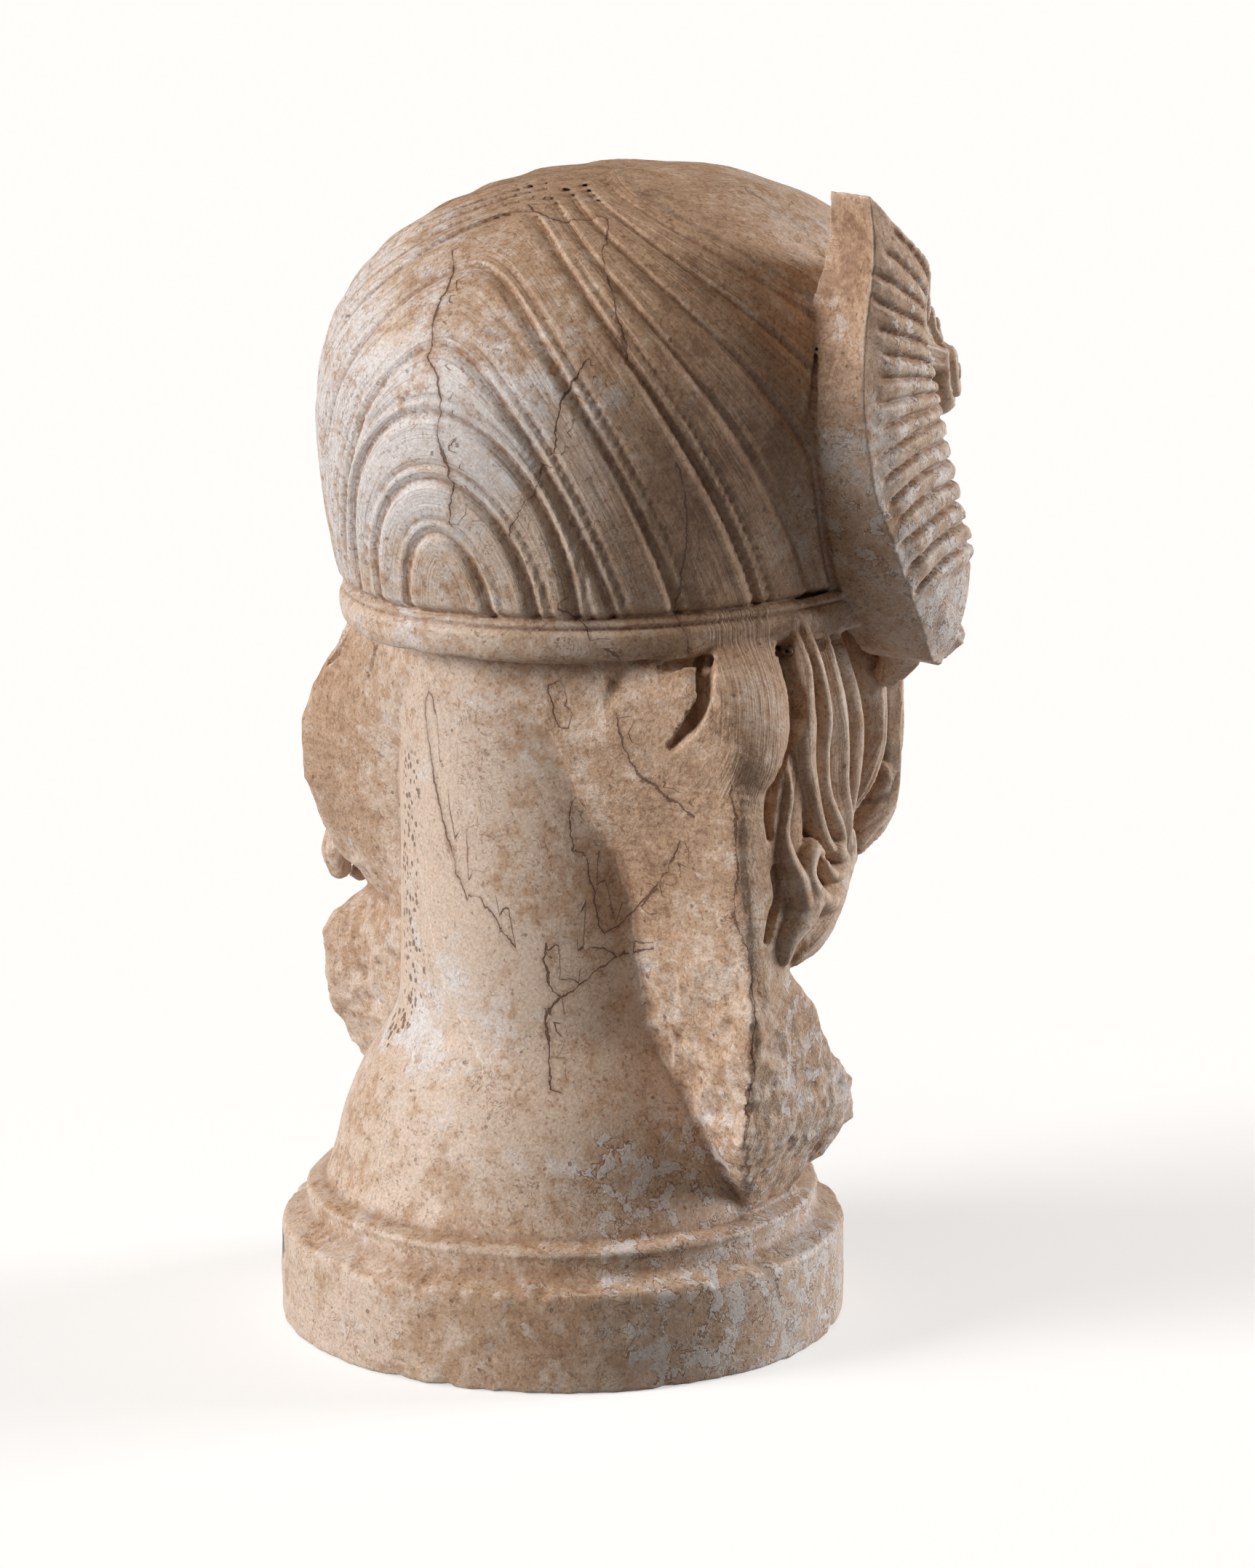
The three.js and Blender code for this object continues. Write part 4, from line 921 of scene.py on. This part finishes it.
def markVertices(mesh):
    places = np.empty(len(mesh.vertices) * 3)
    mesh.vertices.foreach_get("co", places)
    places = places.reshape(-1, 3) * (-1000, -1000, 1000)
    out = outwardAt(places)
    sideways = unit(np.cross(out, (0.3, 0.2, 0.93)))
    other = np.cross(out, sideways)

    def around(reach):  # how far the skin bends away from its own tangent plane: below 0 in a hollow
        turns = [math.cos(a) * sideways + math.sin(a) * other for a in np.arange(8) * math.pi / 4]
        return sum(fieldAt(places + turn * reach) for turn in turns) / 8

    near, wide = around(2.4), around(7.0)
    marks = {
        "hollow": np.clip(-near / 0.8, 0, 1), "deep": np.clip(-wide / 2.2, 0, 1),
        "edge": np.clip((near - 0.12) / 0.6, 0, 1), "up": places[:, 2] / 1000,
    }

    def claim(value, strength, new, near, allowed=True):  # each vertex goes by the line that is nearest to it
        better = (near > marks[strength]) & allowed
        marks[value] = np.where(better, new, marks[value])
        marks[strength] = np.where(better, near, marks[strength])

    for name in ("A", "B", "Pale"):  # cracks take turns, so that two may cross
        marks["gap" + name], marks["near" + name] = np.full(len(places), farGap), np.zeros(len(places))
    for k, line in enumerate(cracks + [paleVein]):
        name = "Pale" if k == len(cracks) else "AB"[k % 2]
        claim("gap" + name, "near" + name, *besideLine(places, line, crackReach))
    marks["pits"] = np.max([besideLine(places, line, reach)[1] for reach, line in pitLines], axis=0)
    onCap = (places[:, 2] > 307) & (places[:, 1] < 60)
    marks["comb"] = np.where(onCap, chartAt(capComb, places), 0)
    marks["combed"] = onCap * step(307, 311, places[:, 2]) * (np.abs(places[:, 0]) < 113) * 0.6
    for k, (line, wide) in enumerate(lockLines):
        gap, near = besideLine(places, line, wide * 1.25)
        claim("comb", "combed", k + gap / 14, near, ~onCap)
    gaps = [np.abs(massDistance(places, *mass, (0, 1))) for mass in ((1, nearMass), (-1, farMass))]
    marks["broken"] = (1 - step(1.5, 4.0, np.min(gaps, axis=0))) * (np.abs(plinthDistance(places)) > 1.2)
    for name, spots in tints.items():
        marks[name] = sum(amount * bump(np.linalg.norm(places - spot, axis=1), 0, reach)
                          for *spot, reach, amount in spots)
    for name, values in marks.items():
        mesh.attributes.new(name, "FLOAT", "POINT").data.foreach_set("value", values.astype(np.float32))
    mesh.polygons.foreach_set("use_smooth", np.ones(len(mesh.polygons), bool))
    corners = np.empty(len(mesh.loops), np.int32)
    mesh.loops.foreach_get("vertex_index", corners)
    at = places[corners].reshape(-1, 3, 3)
    at = 0.7 * at + 0.3 * at.mean(1, keepdims=True)  # just inside each face, so carved edges stay crisp
    mesh.normals_split_custom_set(outwardAt(at.reshape(-1, 3)) * (-1, -1, 1))
    stage("vertices marked")
    return marks


marks = markVertices(head.data)
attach(head, "root")
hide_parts(nodeName)


# Old marble: chisel-cut, rubbed smooth on the neck, stained brown where earth lay in the hollows, and darker there
# with painted shade too.
# The eye sees cream stone with a dull sheen, blue-white crystal patches and brown rings and cracks.
def linear(hexColour):
    values = [int(hexColour[k : k + 2], 16) / 255 for k in (1, 3, 5)]
    return tuple(v / 12.92 if v <= 0.04045 else ((v + 0.055) / 1.055) ** 2.4 for v in values) + (1.0,)


marble = {
    "cream": "#dac4b2", "tan": "#bd9a7c", "white": "#e4dfdf", "rubbed": "#e6d8ca",
    "brown": "#8a6347", "umber": "#7a543a", "dark": "#5f3f2b", "black": "#2b2623",
    "ior": 1.49, "roughness": 0.52,
    "clouds": {  # of the stone: mm across, detail, shift, warp
        "blotch": (60.0, 4.0, 0.0, 0.0), "smaller": (9.0, 8.0, 3.1, 0.3), "region": (40.0, 3.0, 9.1, 0.0),
        "crystal": (7.5, 3.5, 7.3, 0.25), "haze": (24.0, 7.0, 12.4, 0.3), "speck": (2.2, 3.0, 41.0, 0.0),
        "net": (12.0, 4.0, 15.7, 1.0), "netPlace": (35.0, 3.0, 18.2, 0.0), "dust": (4.0, 5.0, 21.4, 0.0),
        "wander": (7.0, 5.0, 25.1, 0.0), "crackWidth": (14.0, 2.0, 27.9, 0.0), "grain": (1.2, 2.0, 31.0, 0.0),
        "rock": (4.2, 5.0, 33.0, 0.0),
    },
    "pit": 3.6,  # mm between drill and weather pits
}


def marbleMaterial():
    material = bpy.data.materials.new("agedMarble")
    material.use_nodes = True
    tree = material.node_tree
    tree.nodes.clear()

    def add(kind, *values, out=0, **settings):  # values fill the sockets in order, or by key from a dictionary
        node = tree.nodes.new("ShaderNode" + kind)
        for key, value in settings.items():
            setattr(node, key, value)
        named = values[0] if values and isinstance(values[0], dict) else dict(enumerate(values))
        for key, value in named.items():
            if isinstance(value, bpy.types.NodeSocket):
                tree.links.new(value, node.inputs[key])
            else:
                node.inputs[key].default_value = value
        return node.outputs[out]

    soft = {"interpolation_type": "SMOOTHSTEP"}
    times, plus, less, most, positive, both = (
        {"operation": kind} for kind in ("MULTIPLY", "ADD", "SUBTRACT", "MAXIMUM", "ABSOLUTE", "MULTIPLY_ADD"))
    place = add("TexCoord", out=3)  # the object's own coordinates
    mark = {name: add("Attribute", out=2, attribute_name=name) for name in marks}
    cloud = {}
    for name, (across, detail, shift, warp) in marble["clouds"].items():
        where = add("VectorMath", place, (shift, 0.7 * shift, 1.3 * shift), operation="ADD")
        cloud[name] = add("TexNoise", {
            "Vector": where, "Scale": 1000 / across, "Detail": detail, "Roughness": 0.64, "Distortion": warp,
        })

    # Patina over cream stone, and a blue-white haze; the brown tint spots bring painted shade and painted light into
    # the patina, and the white ones bring painted light into the haze.
    patinaAndPaintedShading = add("Math", cloud["blotch"], 0.4, add("Math", cloud["smaller"], 0.64, **times), **both)
    patinaAndPaintedShading = add("Math", cloud["dust"], 0.34, patinaAndPaintedShading, **both)
    browner = add("Math", mark["brown"], 0.25, add("Math", mark["broken"], 0.05, **times), **both)
    patinaAndPaintedShading = add("Math", patinaAndPaintedShading, browner, **plus)
    haze = add("Math", cloud["haze"], add("Math", mark["white"], 0.3, **times), **plus)
    haze = add("MapRange", haze, 0.56, 0.75, 0.0, 0.88, **soft)
    tanned = add("MapRange", patinaAndPaintedShading, 0.66, 0.84, 0.0, 0.9, **soft)
    deeper = add("MapRange", patinaAndPaintedShading, 0.84, 1.08, 0.0, 0.7, **soft)
    specks = add("Math", patinaAndPaintedShading, 0.25, cloud["speck"], **both)
    specks = add("MapRange", specks, 0.75, 0.84, 0.0, 0.55, **soft)

    # Crystal patches with brown rings round them, and a net of fine veins.
    ringed = add("Math", cloud["region"], add("Math", mark["rings"], 0.45, **times), **plus)
    ringed = add("MapRange", ringed, 0.62, 0.86, **soft)
    crystal = add("Math", add("MapRange", cloud["crystal"], 0.535, 0.565, 0.0, 0.8, **soft), ringed, **times)
    ring, net = (add("Math", add("Math", cloud[name], middle, **less), **positive)
                 for name, middle in (("crystal", 0.525), ("net", 0.5)))
    ring = add("Math", add("MapRange", ring, 0.005, 0.024, 0.9, 0.0, **soft), ringed, **times)
    ring = add("Math", ring, add("MapRange", cloud["smaller"], 0.38, 0.55, **soft), **times)
    netted = add("Math", cloud["netPlace"], add("Math", mark["rings"], 0.25, **times), **plus)
    netted = add("MapRange", netted, 0.5, 0.6, **soft)
    net = add("Math", add("MapRange", net, 0.002, 0.012, 0.65, 0.0, **soft), netted, **times)
    stain = add("Math", ring, net, **most)
    smear = add("MapRange", cloud["crystal"], 0.50, 0.40, **soft)
    smear = add("Math", smear, add("Math", ringed, 0.5, **times), **times)

    # Brown earth left in the hollows, with painted shade darkening the same hollows, and stone rubbed bare on the
    # edges.
    patchy = add("MapRange", cloud["dust"], 0.28, 0.62, 0.45, 1.0, **soft)
    hollow = add("Math", add("MapRange", mark["hollow"], 0.12, 0.9, **soft), patchy, **times)
    deep = add("MapRange", mark["deep"], 0.12, 0.95, 0.0, 0.62, **soft)
    earthAndPaintedShade = add("Math", add("Math", hollow, deep, **most), 0.8, **times)
    rubbed = add("MapRange", mark["edge"], 0.4, 1.0, 0.0, 0.4, **soft)

    # Combed strokes on the hair, a little under 1 mm apart.
    stroke = [add("Math", mark[name], scale, **times) for name, scale in (("comb", 15.0), ("up", 45.0))]
    stroke = add("TexNoise", {
        "Vector": add("CombineXYZ", *stroke, 0.0), "Scale": 1.0, "Detail": 3.0, "Roughness": 0.6,
    })
    stroke = add("Math", add("Math", stroke, 0.5, **less), mark["combed"], **times)
    combedDark = add("MapRange", stroke, -0.01, -0.12, 0.0, 0.42, **soft)
    combedPale = add("MapRange", stroke, 0.02, 0.12, 0.0, 0.3, **soft)

    # Cracks, a pale vein and pits.
    wander = add("Math", add("Math", cloud["wander"], 0.5, **less), 5.0, **times)
    wide = add("MapRange", cloud["crackWidth"], 0.35, 0.65, -0.05, 0.42)
    lines, halos = [], []
    for name in ("A", "B", "Pale"):
        gap = add("Math", add("Math", mark["gap" + name], wander, **plus), **positive)
        line = add("MapRange", gap, wide, add("Math", wide, 0.28, **plus), 1.0, 0.0)
        beside = add("MapRange", mark["near" + name], 0.1, 0.5, **soft)
        lines.append(add("Math", line, beside, **times))
        halos.append(add("Math", add("MapRange", gap, 2.6, 0.3, 0.0, 0.4, **soft), beside, **times))
    crack = add("Math", lines[0], lines[1], **most)
    halo = add("Math", add("Math", halos[0], halos[1], **most), patchy, **times)
    cells = add("TexVoronoi", {"Vector": place, "Scale": 1000 / marble["pit"]})
    chosen = add("SeparateColor", cells.node.outputs["Color"])
    chosen = add("MapRange", chosen, 0.955, 0.975, 0.0, 0.7, **soft)
    chosen = add("Math", chosen, add("MapRange", mark["pits"], 0.4, 0.9, 0.0, 0.9, **soft), **most)
    pitEdge = add("MapRange", cloud["dust"], 0.3, 0.7, 0.03, 0.34)
    pitEdge = add("Math", mark["pits"], 0.14, pitEdge, **both)
    pit = add("MapRange", add("Math", cells, pitEdge, **less), 0.06, 0.0, 0.0, 0.85, **soft)
    pit = add("Math", pit, chosen, **times)
    dark = add("Math", add("Math", crack, 0.9, **times), pit, **most)
    black = add("MapRange", add("Math", mark["black"], cloud["dust"], **plus), 0.95, 1.2, 0.0, 0.8, **soft)

    colour = linear(marble["cream"])  # a colour Mix takes share, under and over at 0, 6 and 7
    for share, tint in (
        (haze, "white"), (tanned, "tan"), (deeper, "umber"), (specks, "brown"), (smear, "tan"), (crystal, "white"),
        (earthAndPaintedShade, "brown"), (rubbed, "rubbed"), (stain, "brown"), (combedDark, "brown"), (combedPale, "rubbed"),
        (halo, "brown"), (lines[2], "rubbed"), (dark, "dark"), (black, "black"),
    ):
        colour = add("Mix", {0: share, 6: colour, 7: linear(marble[tint])}, out=2, data_type="RGBA")
    speckle = add("MapRange", cloud["grain"], 0.3, 0.7, 0.74, 1.26)
    colour = add("Mix", {0: 0.75, 6: colour, 7: speckle}, out=2, data_type="RGBA", blend_type="MULTIPLY")

    # Height in millimetres, only for what is finer than the mesh.
    height = add("Math", cloud["grain"], 0.12, **times)
    rough = add("Math", mark["broken"], 1.0, 0.16, **both)
    for share, tall in ((cloud["rock"], rough), (stroke, 0.6), (dark, -0.22), (crystal, 0.07), (stain, -0.08)):
        height = add("Math", share, tall, height, **both)
    normal = add("Bump", {"Strength": 1.0, "Distance": 0.001, "Height": height})
    dull = add("MapRange", patinaAndPaintedShading, 0.6, 1.05, marble["roughness"], marble["roughness"] + 0.2)
    shader = add("BsdfPrincipled", {
        "Base Color": colour, "Roughness": dull, "IOR": marble["ior"], "Normal": normal,
        "Subsurface Weight": 0.12, "Subsurface Radius": (1.0, 0.7, 0.45), "Subsurface Scale": 0.003,
    })
    tree.links.new(shader, tree.nodes.new("ShaderNodeOutputMaterial").inputs[0])
    return material


head.data.materials.append(marbleMaterial())

# Floor, light and camera. Little light comes back up from the floor, as in a studio with dark surroundings,
# but it shines a little itself, so that it shows as bright as a lit backdrop.
backdrop = {"half": 12.0, "colour": "#c8c8c8", "roughness": 0.9, "glow": 0.57}
room = {"tint": (1, 0.74, 0.48, 1), "strength": 0.07}
# Large soft boxes: where they stand round the head, how high, how strong and how wide in degrees.
lights = {
    "leftBox": (57, 19, 2.95, 28, "#fffefd"),
    "rightBox": (234, 14, 2.5, 26, "#fffdfb"),
    "highBox": (76, 76, 0.6, 40, "#fff4e8"),
}
# The camera aims beside the axis, shifted this far towards the bearing across it.
view = {"eye": (-1.4348, 1.7931, 0.7576), "across": 218, "shift": 0.02668, "up": 0.22074, "lens": 133.6}

mesh = bpy.data.meshes.new("paleFloor")
half = backdrop["half"]
mesh.from_pydata([(-half, -half, 0), (half, -half, 0), (half, half, 0), (-half, half, 0)], [], [(0, 1, 2, 3)])
floor = addObject("paleFloor", mesh)
paint = bpy.data.materials.new("paleFloor")
paint.use_nodes = True
for name, value in (
    ("Base Color", linear(backdrop["colour"])), ("Roughness", backdrop["roughness"]),
    ("Emission Color", (1, 1, 1, 1)), ("Emission Strength", backdrop["glow"]),
):
    paint.node_tree.nodes["Principled BSDF"].inputs[name].default_value = value
mesh.materials.append(paint)
floor.visible_diffuse = False

world = bpy.data.worlds.new("softRoom")
bpy.context.scene.world = world
world.use_nodes = True
world.node_tree.nodes["Background"].inputs["Color"].default_value = room["tint"]
world.node_tree.nodes["Background"].inputs["Strength"].default_value = room["strength"]
bpy.context.scene.view_settings.view_transform = "Standard"

for name, (bearing, climb, power, width, tint) in lights.items():
    a, e = math.radians(bearing), math.radians(climb)
    lamp = bpy.data.lights.new(name, "SUN")
    lamp.energy = power
    lamp.angle = math.radians(width)
    lamp.color = linear(tint)[:3]
    obj = addObject(name, lamp)
    toward = Vector((math.cos(a) * math.cos(e), math.sin(a) * math.cos(e), math.sin(e)))
    obj.location = toward * 2
    obj.rotation_euler = toward.to_track_quat("Z", "Y").to_euler()

eye, turn = Vector(view["eye"]), math.radians(view["across"])
target = Vector((math.cos(turn), math.sin(turn), 0)) * view["shift"] + Vector((0, 0, view["up"]))
camera = addObject("camera", bpy.data.cameras.new("camera"))
camera.data.lens = view["lens"]
camera.data.sensor_width = 36
camera.data.clip_end = 60
camera.location = eye
camera.rotation_euler = (target - eye).to_track_quat("-Z", "Y").to_euler()
bpy.context.scene.camera = camera

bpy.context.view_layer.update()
stage("scene ready")
